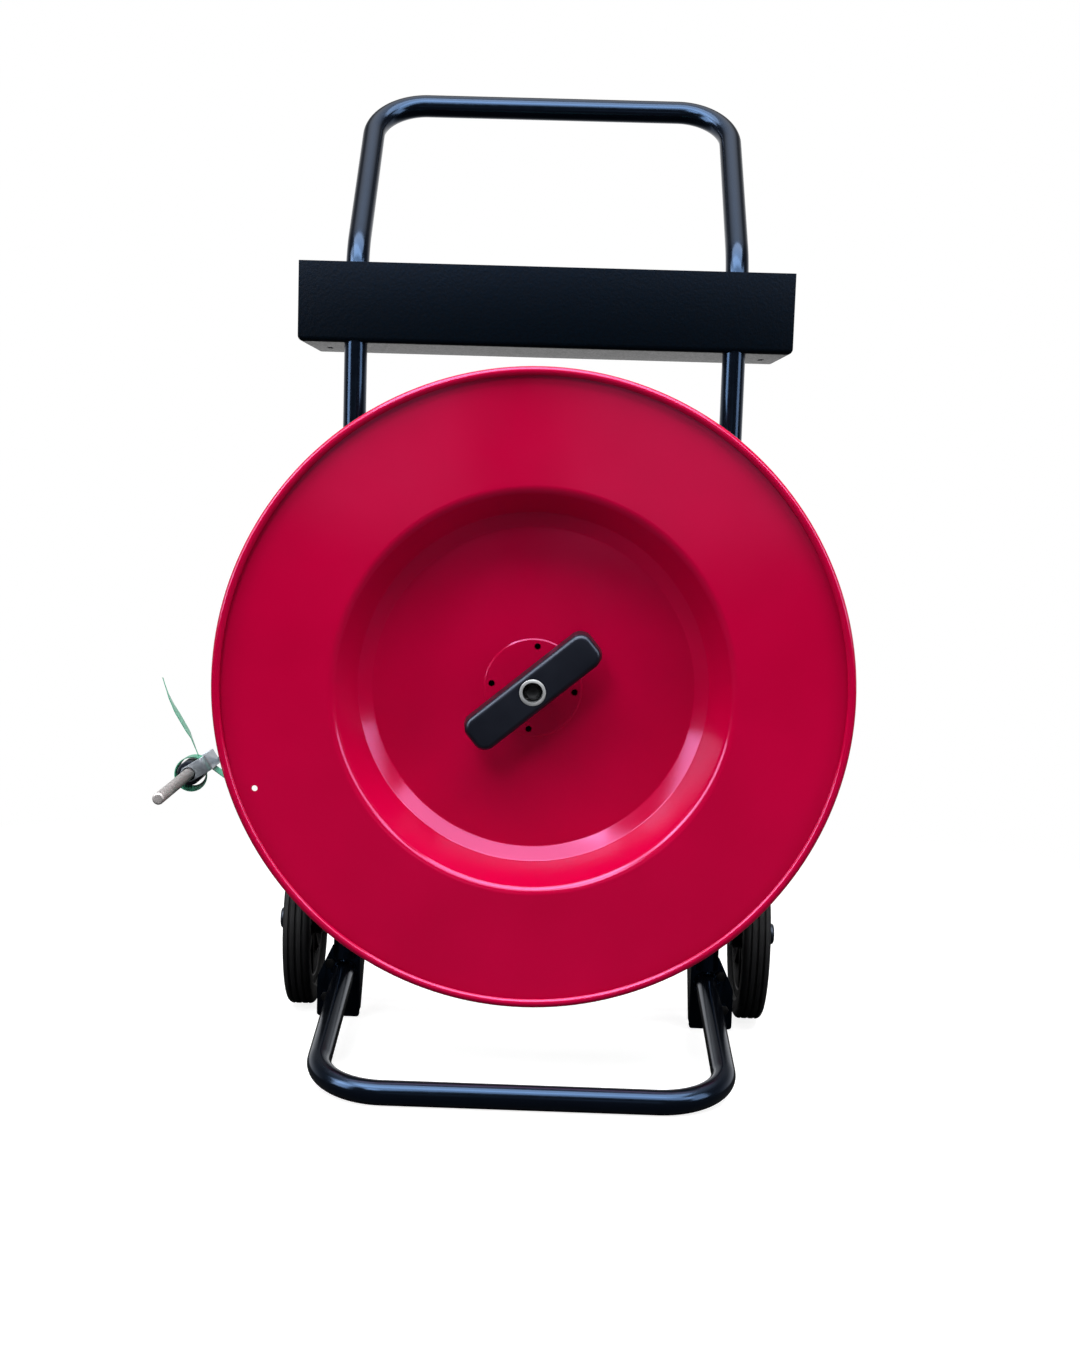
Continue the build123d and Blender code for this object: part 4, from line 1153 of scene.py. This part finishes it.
@dataclass
class ToolTray:
    """The open tray for tools and seals, folded from sheet and clamped to the uprights by saddles."""

    layout: Layout
    sheet: float = 1.5
    bend_r: float = 6.0
    clearance: float = 0.8
    slot_l: float = 22.0
    slot_w: float = 6.0
    slot_outboard: float = 38.0
    stud_reach: float = 22.0
    stud_d: float = 6.0
    stud_l: float = 14.0
    saddle_z: tuple[float, float] = (775.0, 805.0)

    def build(self) -> None:
        """Folds the tray, cuts its floor, welds its studs on and adds the saddles and nuts."""
        box = Box.of("tool_tray")
        let_go()
        bpy.ops.mesh.primitive_cube_add(size=1, location=box.middle * MM, scale=box.size * MM)
        tray = take("tool_tray_folded")
        select(tray, Domain.FACES, lambda middle: middle.z > box.high.z - 0.1)
        bpy.ops.mesh.delete(type="ONLY_FACE")
        select(tray, Domain.EDGES, lambda middle: middle.z < box.low.z + 0.1)
        bpy.ops.mesh.bevel(offset=self.bend_r * MM, segments=6, affect="EDGES")
        thicken(tray, self.sheet, -1)
        bevel_edges(tray, 0.35)
        slot_y = box.low.y + box.size.y * 0.55
        hole_r = self.layout.tube_d / 2 + self.clearance
        studs = []
        for _, side in SIDES:
            x = side * self.layout.upright_x
            combine(tray, drum("clear", point(x, self.layout.upright_y, box.low.z - 5), AXIS_Z, 12, hole_r, 64))
            combine(tray, self.slot_cutter(x + side * self.slot_outboard, slot_y, box.low.z))
        for x, z, reach in (
            (side * self.layout.upright_x, z, reach)
            for _, side in SIDES
            for z in self.saddle_z
            for reach in (-self.stud_reach, self.stud_reach)
        ):
            foot = point(x + reach, box.low.y + self.sheet, z)
            name = f"stud_{x:.0f}_{z:.0f}_{reach:.0f}"
            studs.append(drum(name, foot, AXIS_Y, self.stud_l, self.stud_d / 2, 24))
            bevel_edges(studs[-1], 0.5)
        tray = join([tray, *studs], "tool_tray_folded")
        Dressing(Body.CART, WRINKLE_BLACK, Slot.TEXTURE_PAINT, ("tool_tray",), smooth=25).put_on(tray)
        saddles, nuts = ("tray_saddles", "pressed", ZINC, Slot.ZINC), ("tray_nuts", "faced", ZINC, Slot.ZINC)
        refine(Body.CART, 0.4, saddles, nuts)

    def slot_cutter(self, x: float, y: float, z: float) -> Piece:
        """A round-ended cutter for one slot in the floor."""
        half, r = self.slot_l / 2, self.slot_w / 2
        corners = [(r, 0), (r, half), (-r, half), (-r, -half), (r, -half), (r, 0)]
        flat = rounded(corners, [r * 0.98] * 4, step=15.0)[:-1]
        return slab("slot", [point(x + dx, y + dy, z - 5) for dx, dy in flat], AXIS_Z * 12)


# ---------------------------------------------------------------- wheels


@dataclass
class Wheel:
    """A plain-bearing wheel: a grooved solid rubber tyre on a moulded centre with ribs."""

    layout: Layout
    side_name: str
    side: int
    body: Body
    tyre_depth: float = 23.0
    grooves: int = 3
    groove_w: float = 2.6
    groove_depth: float = 2.0
    shoulder_r: float = 6.0
    seat_w: float = 22.0
    rim_t: float = 10.0
    web_t: float = 4.0
    hub_r: float = 17.0
    hub_l: float = 38.0
    ribs: int = 8
    rib_t: float = 3.0

    def build(self) -> None:
        """Moulds the tyre, the centre and its sleeve."""
        name = self.side_name
        box, sleeve = Box.of(f"tyre_{name}"), f"wheel_sleeve_{name}"
        centre = point(self.side * self.layout.wheel_x, self.layout.axle_y, self.layout.axle_z)
        tread = box.size.z / 2
        tyre = lathe(f"tyre_{name}_moulded", self.tyre_profile(tread, box.size.x), centre, AXIS_X, 144)
        Dressing(self.body, TYRE_RUBBER, Slot.TYRE, (f"tyre_{name}",), smooth=40).put_on(tyre)
        rim_r = tread - self.tyre_depth
        profile = self.centre_profile(rim_r, Box.of(sleeve).size.z / 2)
        rim = lathe(f"wheel_centre_{name}", profile, centre, AXIS_X, 96)
        rim = join([rim, *self.rib_set(centre, rim_r)], f"wheel_centre_{name}")
        Dressing(self.body, BLACK_PROPYLENE, Slot.BLACK_PLASTIC, (f"wheel_rim_{name}",)).put_on(rim)
        refine(self.body, 0.4, (sleeve, "turned", NATURAL_ACETAL, Slot.BEARING))

    def tyre_profile(self, tread: float, width: float) -> Line:
        """The tyre's closed section: seat, chamfered beads, rounded shoulders and running grooves."""
        half, seat = width / 2, tread - self.tyre_depth
        line = [(seat, 0), (seat, -half + 3), (seat + 3, -half), (tread, -half)]
        pitch, deep, side = width / (self.grooves + 1), tread - self.groove_depth, self.groove_w / 2
        for i in range(self.grooves):
            middle = -half + pitch * (i + 1)
            near, far = middle - side, middle + side
            line += [(tread, near), (deep, near), (deep, far), (tread, far)]
        line += [(tread, half), (seat + 3, half), (seat, half - 3), (seat, 0)]
        ends = [0, 1.0, self.shoulder_r]
        return rounded(line, [*ends, *[0.6] * 4 * self.grooves, *reversed(ends)], step=18.0)

    def centre_profile(self, rim_r: float, sleeve_r: float) -> Line:
        """The moulded centre's closed section: rim seat, thin web and long hub."""
        seat, web, hub = self.seat_w / 2, self.web_t / 2, self.hub_l / 2
        inner_rim = rim_r - self.rim_t
        half = [(sleeve_r, hub), (self.hub_r, hub), (self.hub_r, web)]
        half += [(inner_rim, web), (inner_rim, seat), (rim_r, seat)]
        mirrored = [(r, -along) for r, along in reversed(half)]
        radii = [0.5, 1.2, 2.0, 2.0, 1.0, 0.8]
        return rounded([(sleeve_r, 0), *half, *mirrored, (sleeve_r, 0)], [*radii, *reversed(radii)], step=20.0)

    def rib_set(self, centre: Vector, rim_r: float) -> list[Piece]:
        """The radial ribs on both faces of the web."""
        inner, outer = self.hub_r - 1, rim_r - self.rim_t + 1
        middle = centre + AXIS_Z * (inner + outer) / 2 * MM
        let_go()
        bpy.ops.mesh.primitive_cube_add(
            size=1, location=middle, scale=point(self.seat_w - 4, self.rib_t, outer - inner)
        )
        rib = take("rib")
        bevel_edges(rib, 0.6)
        hub = Matrix.Translation(centre)
        turns = [Matrix.Rotation(2 * pi * i / self.ribs, 4, "X") for i in range(self.ribs)]
        ribs = [copy_moved(rib, f"rib_{i}", hub @ turn @ hub.inverted()) for i, turn in enumerate(turns)]
        bpy.data.objects.remove(rib)
        return ribs


# ---------------------------------------------------------------- guide lever


@dataclass
class GuideLever:
    """The sprung lever on the left upright: a fork with a strap roller on a rod, and a brake."""

    layout: Layout
    edge: float = 0.6
    arm_angle: float = 32.0
    # Where the waist starts and ends along the arm from the rod, and how high it leaves the leg.
    waist: tuple[float, float, float] = (20.5, 38.0, -2.5)

    def build(self) -> None:
        """Refines the lever's pressed and turned parts and turns its roller."""
        self.fork()
        refine(
            Body.LEVER,
            self.edge,
            ("guide_rod", "turned", ROD_STEEL, Slot.ZINC),
            ("rod_nuts", "faced", ZINC, Slot.ZINC),
            ("brake_pad", "block", PAD_RUBBER, Slot.PAD),
            ("brake_holder", "plate", ZINC, Slot.ZINC),
        )
        refine(
            Body.CART,
            self.edge,
            ("lever_bush", "welded", BLACK_ENAMEL, Slot.BLACK_PAINT),
            ("pivot_washer", "turned", ZINC, Slot.ZINC),
            ("pivot_bolt", "faced", ZINC, Slot.ZINC),
            ("spring_lug", "welded", BLACK_ENAMEL, Slot.BLACK_PAINT),
        )
        box, rod_r = Box.of("guide_roller"), Box.of("guide_rod").size.x / 2
        profile = ring_profile(box.size.x / 2, rod_r + 0.05, box.size.y, 1.0)
        start = point(box.middle.x, box.low.y, box.middle.z)
        roller = lathe("guide_roller_turned", profile, start, AXIS_Y, 64)
        Dressing(Body.ROLLER, BLACK_NYLON, Slot.BLACK_PLASTIC, ("guide_roller",)).put_on(roller)

    def fork(self) -> None:
        """Refines the pressed fork and gives its long leg a waist next to the web."""
        climb, middle = radians(self.arm_angle), Box.of("guide_rod").middle
        across, up = Vector((cos(climb), 0, sin(climb))), Vector((-sin(climb), 0, cos(climb)))
        rod = Vector((middle.x, Box.of("guide_arm").high.y + 2, middle.z))
        start, end, drop = self.waist
        fork = refined_copy("guide_arm", "guide_fork", 0)
        corners = [(start, 20), (start, drop), (end, drop), (end + 8, 8.4), (end + 8, 20)]
        flat = rounded(corners, [3.0, 8.0, 4.0], step=12.0)
        outline = [(rod + across * s + up * t) * MM for s, t in flat]
        combine(fork, slab("waist", outline, -AXIS_Y * 8))
        bevel_edges(fork, self.edge)
        Dressing(Body.LEVER, ZINC, Slot.ZINC, ("guide_arm",)).put_on(fork)


@dataclass
class LeverSpring:
    """The tension spring from the lever's tail up to the lug on the upright."""

    layout: Layout
    wire_d: float = 1.6
    coil_r: float = 4.0
    turns: int = 9
    pitch: float = 5.5
    arm_w: float = 17.0
    behind_lug: float = 6.0
    hook_reach: float = 13.0
    per_turn: int = 20

    def build(self) -> None:
        """Winds the spring with its two hooks, and stretches it between the cart and the lever."""
        lug = Box.of("spring_lug")
        x, y = -self.layout.upright_x, lug.low.y + self.behind_lug
        lug_z, tail_z = lug.middle.z, Box.of("guide_arm").high.z - self.arm_w / 2
        length = self.turns * self.pitch
        foot = (lug_z + tail_z - length) / 2
        r, turn_in, top = self.coil_r, 1.25 * self.coil_r, foot + length
        # Offsets from the spring's middle line, with the height: the lower hook, the coil, the upper hook.
        line = [(0, -self.hook_reach, tail_z), (0, -2, tail_z), (0, -0.6, tail_z + 0.6), (0, 0, tail_z + 2)]
        line += [(0, 0, foot - turn_in), (r * 0.6, -r * 0.35, foot - 2.5)]
        for i in range(self.turns * self.per_turn + 1):
            turn = 2 * pi * i / self.per_turn
            line.append((r * cos(turn), r * sin(turn), foot + length * i / (self.turns * self.per_turn)))
        line += [(r * 0.6, r * 0.35, top + 2.5), (0, 0, top + turn_in), (-r, 0, top + 2 * turn_in)]
        line += [(-r, 0, lug_z - 2), (0.6 - r, 0, lug_z - 0.6), (2 - r, 0, lug_z), (1.25 * r, 0, lug_z)]
        points = [point(x + dx, y + dy, z) for dx, dy, z in line]
        spring = bent_wire("lever_spring_wound", points, self.wire_d / 2)
        Dressing(None, SPRING_WIRE, Slot.ZINC, ("lever_spring",)).put_on(spring)
        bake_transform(spring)


@dataclass
class StrapLead:
    """The strap's leading end, which hangs in one loose turn on the roller and stands up as a tail."""

    layout: Layout
    width: float = 16.0
    thickness: float = 0.9
    loop_r: float = 16.9
    hang: float = 1.7
    pitch: float = 17.0
    rear_y: float = 220.3
    coil_gap: float = 0.5
    tail_angle: float = 117.1
    feed_flare: float = -6.0
    loop_flare: float = 13.0
    # Distance along the tail, its heading from X towards Z, and its flare.
    tail: tuple[tuple[float, float, float], ...] = (
        (0, 117, 13),
        (12, 119, 13),
        (20, 112, 12.5),
        (32, 112, 10),
        (44, 121, 1),
        (64, 121, 0),
        (80, 116, 7),
        (92, 109, 12),
        (107, 108, 14),
    )
    step: float = 2.0

    def row(self, at: Vector, y: float, outward: float, flare: float) -> tuple[Vector, Vector]:
        """The strap's rear and front edges at one place.

        Args:
            at: The middle of the strap along X and Z.
            y: The middle of the strap along Y.
            outward: The direction of its outer face, in degrees from X towards Z.
            flare: How far its front edge leans to its outer face, in degrees.

        Returns:
            The two edges in metres.
        """
        lean = bearing(outward) * (self.width / 2 * sin(radians(flare)))
        deep = self.width / 2 * cos(radians(flare))
        rear, front = at - lean, at + lean
        return point(rear.x, y + deep, rear.y), point(front.x, y - deep, front.y)

    def rows(self) -> list[tuple[Vector, Vector]]:
        """The strap's edges from the coil to the tip of its tail."""
        rod = Box.of("guide_rod").middle
        centre, y = Vector((rod.x, rod.z - self.hang)), self.rear_y - self.width / 2
        feed_r = Box.of("strap_coil").size.x / 2 + self.coil_gap + self.thickness / 2
        away = Vector((0, self.layout.reel_z)) - centre
        start = degrees(atan2(away.y, away.x)) + degrees(acos((self.loop_r + feed_r) / away.length))
        feed = sqrt(away.length**2 - (self.loop_r + feed_r) ** 2)
        wrap = 360 - start + self.tail_angle - 90
        spot, back = centre + bearing(start) * self.loop_r, bearing(start - 90)
        made = [self.row(spot + back * feed * (1 - i / 8), y, start, self.feed_flare * i / 8) for i in range(8)]
        steps = round(wrap / 6)
        for i in range(steps + 1):
            share = i / steps
            angle = start + wrap * share
            at = centre + bearing(angle) * self.loop_r
            flare = self.feed_flare + (self.loop_flare - self.feed_flare) * min(1.0, share * 1.8)
            made.append(self.row(at, y - self.pitch * share, angle, flare))
        for i in range(1, int(self.tail[-1][0] / self.step) + 1):
            along = i * self.step
            before, after = next(pair for pair in zip(self.tail, self.tail[1:]) if pair[1][0] >= along - 0.01)
            share = (along - before[0]) / (after[0] - before[0])
            share = share * share * (3 - 2 * share)
            heading, flare = (before[n] + (after[n] - before[n]) * share for n in (1, 2))
            at = at + bearing(heading) * self.step
            made.append(self.row(at, y - self.pitch, heading - 90, flare))
        return made

    def build(self) -> None:
        """Draws the strap and ties it to the lever that holds it."""
        strap = ribbon("strap_lead_looped", self.rows(), self.thickness)
        Dressing(Body.LEVER, STRAP_GREEN, Slot.STRAP, ("strap_lead",)).put_on(strap)


# ---------------------------------------------------------------- foot


@dataclass
class FootPlate:
    """A pressed plate over an upright's lower end, and the angle bolted behind it that carries the axle."""

    layout: Layout
    side_name: str
    side: int
    sheet: float = 4.0
    inboard_x: float = 188.0
    outboard_x: float = 236.5
    bottom_z: float = 1.0
    heel_z: float = 47.0
    shoulder: tuple[float, float] = (219.8, 83.0)
    slot_z: float = 70.0
    top_z: float = 108.0
    corner_r: float = 3.5
    bolt_hole_r: float = 3.3
    bolts: tuple[tuple[float, float], ...] = ((222.0, 63.0), (226.5, 24.0))

    def build(self) -> None:
        """Presses the plate, drills it, and trims the angle behind it to the plate's shoulder."""
        tube_in = self.layout.upright_x - self.layout.tube_d / 2
        tube_out = self.layout.upright_x + self.layout.tube_d / 2
        corners = [
            (self.inboard_x, self.heel_z),
            (self.inboard_x, self.bottom_z),
            (self.outboard_x, self.bottom_z),
            (self.outboard_x, self.heel_z),
            self.shoulder,
            (tube_out, self.shoulder[1] + 1),
            (tube_out, self.slot_z),
            (tube_in, self.slot_z),
            (tube_in, self.top_z),
            (tube_in - 2.5, self.top_z),
            (self.inboard_x, self.top_z - 24),
            (self.inboard_x, self.heel_z),
        ]
        flat = rounded(corners, [self.corner_r, self.corner_r, 5.0, 0.8, 0, 0, 0, 0, 0.8, 3.0], step=12.0)[:-1]
        back_y = self.layout.upright_y + self.sheet / 2
        outline = [point(self.side * x, back_y, z) for x, z in flat]
        plate = slab(f"foot_plate_{self.side_name}_pressed", outline, -AXIS_Y * self.sheet)
        for x, z in self.bolts:
            start = point(self.side * x, back_y + 3, z)
            combine(plate, drum("hole", start, -AXIS_Y, self.sheet + 6, self.bolt_hole_r, 24))
        bevel_edges(plate, 0.5)
        Dressing(Body.CART, BLACK_ENAMEL, Slot.BLACK_PAINT, (f"foot_plate_{self.side_name}",)).put_on(plate)
        node = f"axle_bracket_{self.side_name}"
        angle = refined_copy(node, f"{node}_pressed", 0)
        heel = Vector((self.outboard_x - 2, self.heel_z))
        edge = Vector(self.shoulder) + Vector((-2, 6)) - heel
        low, high, out = heel - edge * 0.1, heel + edge * 1.3, Vector((30, 0))
        wedge = [point(self.side * x, back_y - 2, z) for x, z in (low, high, high + out, low + out)]
        combine(angle, slab("wedge", wedge, AXIS_Y * 10))
        bevel_edges(angle, 0.5)
        Dressing(Body.CART, BLACK_ENAMEL, Slot.BLACK_PAINT, (node,)).put_on(angle)


@dataclass
class CartHardware:
    """The bolts and axle parts at the foot of the cart."""

    def build(self) -> None:
        """Refines each pressed or turned part."""
        for node, finish, slot, edge in (
            ("bracket_bolts", DARK_STEEL_AND_BORE_SHADE, Slot.ZINC, 0.5),
            ("axle", ZINC, Slot.ZINC, 0.0),
            ("axle_spacers", ZINC, Slot.ZINC, 0.4),
            ("axle_collars", ZINC, Slot.ZINC, 0.4),
            ("axle_washers", ZINC, Slot.ZINC, 0.3),
            ("axle_caps", BLACK_NYLON, Slot.BLACK_PLASTIC, 0.0),
        ):
            refine(Body.CART, edge, (node, "finished", finish, slot))


# ---------------------------------------------------------------- studio


@dataclass
class Studio:
    """A pale floor, soft lights and the camera."""

    camera_at: tuple[float, float, float] = (11.4, -1737.4, 618.6)
    pitch: float = 7.2
    yaw: float = -1.0
    roll: float = 1.7
    lens: float = 48.8
    shift: tuple[float, float] = (0.0208, 0.0238)
    ambient: float = 0.06
    zenith: float = 2.2

    def camera(self) -> None:
        """Stands the camera in front, a little above the reel, looking slightly down."""
        data = bpy.data.cameras.new("camera")
        data.lens = self.lens
        data.shift_x, data.shift_y = self.shift
        camera = bpy.data.objects.new("camera", data)
        bpy.context.scene.collection.objects.link(camera)
        pitch, yaw, roll = radians(self.pitch), radians(self.yaw), radians(self.roll)
        ahead = Vector((sin(yaw) * cos(pitch), cos(yaw) * cos(pitch), -sin(pitch)))
        right = Vector((cos(yaw), -sin(yaw), 0))
        up = right.cross(ahead)
        side = right * cos(roll) + up * sin(roll)
        top = -right * sin(roll) + up * cos(roll)
        turn = Matrix((side, top, -ahead)).transposed().to_4x4()
        camera.matrix_world = Matrix.Translation(Vector(self.camera_at) * MM) @ turn
        bpy.context.scene.camera = camera

    def floor(self) -> None:
        """Lays a wide pale floor, which is white where the camera sees it lit, and keeps the shadow."""
        let_go()
        bpy.ops.mesh.primitive_plane_add(size=60, location=(0, 0, 0))
        ground = take("floor")
        let_go()
        paper = bpy.data.materials.new("white_paper_roll")
        paper.use_nodes = True
        tree = paper.node_tree
        tree.nodes.clear()
        path = add_node(tree, "LightPath").node.outputs
        tones = {0: path["Is Glossy Ray"], 6: linear("646464"), 7: linear("343434")}
        tone = add_node(tree, "Mix", tones, output=2, data_type="RGBA")
        bounce = add_node(tree, "BsdfDiffuse", {"Color": tone})
        matt = add_node(tree, "BsdfDiffuse", {"Color": linear("b4b4b4")})
        glow, white = (
            add_node(tree, "Emission", {"Color": WHITE, "Strength": strength}) for strength in (0.86, 1.0)
        )
        near = add_node(tree, "AddShader", {0: matt, 1: glow})
        place = add_node(tree, "TexCoord", output="Object")
        reach = add_node(tree, "VectorMath", {0: place}, "Value", operation="LENGTH")
        seen = add_mix(tree, add_range(tree, reach, 0.5, 1.6), near, white)
        behind = add_range(tree, add_node(tree, "SeparateXYZ", {0: place}, "Y"), 1.0, 3.0)
        mirrored = add_math(tree, "MULTIPLY", path["Is Glossy Ray"], behind)
        white_for = add_math(tree, "MAXIMUM", path["Is Camera Ray"], mirrored)
        add_node(tree, "OutputMaterial", {"Surface": add_mix(tree, white_for, bounce, seen)})
        ground.data.materials.append(paper)

    def room(self) -> None:
        """Fills the room with dim light and hangs a white backdrop that the camera and gloss see behind."""
        world = bpy.data.worlds.new("room")
        bpy.context.scene.world = world
        world.use_nodes = True
        tree = world.node_tree
        tree.nodes.clear()
        path = add_node(tree, "LightPath").node.outputs
        towards = add_node(tree, "TexCoord", output="Generated")
        heading = add_node(tree, "SeparateXYZ", {0: towards}).node.outputs
        behind = add_range(tree, heading["Y"], 0.0, 0.7)
        low_down = add_range(tree, heading["Z"], 0.15, 0.5, 1.0, 0.15)
        backdrop = add_math(tree, "MULTIPLY", behind, low_down)
        gloss = add_math(tree, "MULTIPLY", path["Is Glossy Ray"], backdrop)
        plain = add_math(tree, "MAXIMUM", path["Is Camera Ray"], path["Is Transmission Ray"])
        seen = add_math(tree, "MAXIMUM", plain, gloss)
        ceiling = add_range(tree, heading["Z"], 0.7, 1.0, self.ambient, self.zenith)
        soft, bright = (
            add_node(tree, "Background", {"Color": WHITE, "Strength": strength}) for strength in (ceiling, 1.0)
        )
        add_node(tree, "OutputWorld", {"Surface": add_mix(tree, seen, soft, bright)})

    def lamp(
        self, name: str, at: tuple, aim: tuple, size: tuple, power: float, matt: bool = True, gloss: bool = True
    ) -> None:
        """Hangs one soft box.

        Args:
            name: The lamp's name.
            at: Its place in metres.
            aim: The place it faces, in metres.
            size: Its width and height in metres.
            power: Its power in watts.
            matt: Whether it lights matt surfaces.
            gloss: Whether glossy surfaces mirror it.
        """
        data = bpy.data.lights.new(name, "AREA")
        data.shape = "RECTANGLE"
        data.size, data.size_y = size
        data.energy = power
        lamp = bpy.data.objects.new(name, data)
        bpy.context.scene.collection.objects.link(lamp)
        lamp.visible_diffuse, lamp.visible_glossy = matt, gloss
        lamp.location = at
        lamp.rotation_euler = (Vector(aim) - Vector(at)).to_track_quat("-Z", "Y").to_euler()

    def build(self) -> None:
        """Sets up the camera, floor, room and lights."""
        bpy.context.scene.view_settings.view_transform = "Standard"
        self.camera()
        self.floor()
        self.room()
        self.lamp("overhead_box", (0.0, -0.6, 2.6), (0, -0.3, 0), (3.0, 1.5), 115)
        self.lamp("front_box", (-0.9, -2.2, 2.2), (0, 0.1, 0.4), (0.9, 0.7), 24)
        self.lamp("gloss_box", (-0.4, -1.6, 2.8), (0, -0.2, 0.2), (8.0, 1.5), 270, matt=False)
        self.lamp("left_gloss", (-2.6, -1.2, 1.6), (0, 0.1, 0.4), (1.3, 2.0), 80, matt=False)
        self.lamp("right_gloss", (2.6, -1.2, 1.6), (0, 0.1, 0.4), (1.3, 2.0), 50, matt=False)
        self.lamp("left_box", (-2.3, -0.8, 1.1), (0, 0.1, 0.45), (0.6, 1.2), 18, gloss=False)
        self.lamp("right_box", (2.3, -0.8, 1.1), (0, 0.1, 0.45), (0.6, 1.2), 18, gloss=False)
        # Two dim cards beside the camera, whose reflections lie on the disc's face.
        self.lamp("left_card", (-0.26, -1.95, 0.58), (-0.13, 0.07, 0.58), (0.27, 0.3), 0.12)
        self.lamp("right_card", (0.25, -1.95, 0.62), (0.12, 0.07, 0.62), (0.45, 0.4), 0.28)


def main() -> None:
    """Builds the trolley's sub-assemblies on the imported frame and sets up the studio."""
    logging.basicConfig(level=logging.INFO, format="%(name)s: %(message)s")
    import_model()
    let_go()
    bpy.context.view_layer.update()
    layout = Layout.from_frame()
    for part in (
        Studio(),
        TubeFrame(layout),
        DiscPressing(layout, "front_disc", Body.FRONT_SIDE, Box.of("front_disc").low.y, 1),
        DiscPressing(layout, "rear_disc", Body.REEL, Box.of("rear_disc").high.y, -1),
        Hub(layout),
        ClampHandle(layout),
        StrapCoil(layout),
        ToolTray(layout),
        Wheel(layout, "left", -1, Body.WHEEL_LEFT),
        Wheel(layout, "right", 1, Body.WHEEL_RIGHT),
        GuideLever(layout),
        LeverSpring(layout),
        StrapLead(layout),
        *(FootPlate(layout, name, side) for name, side in SIDES),
        CartHardware(),
    ):
        part.build()


if __name__ == "__main__":
    main()
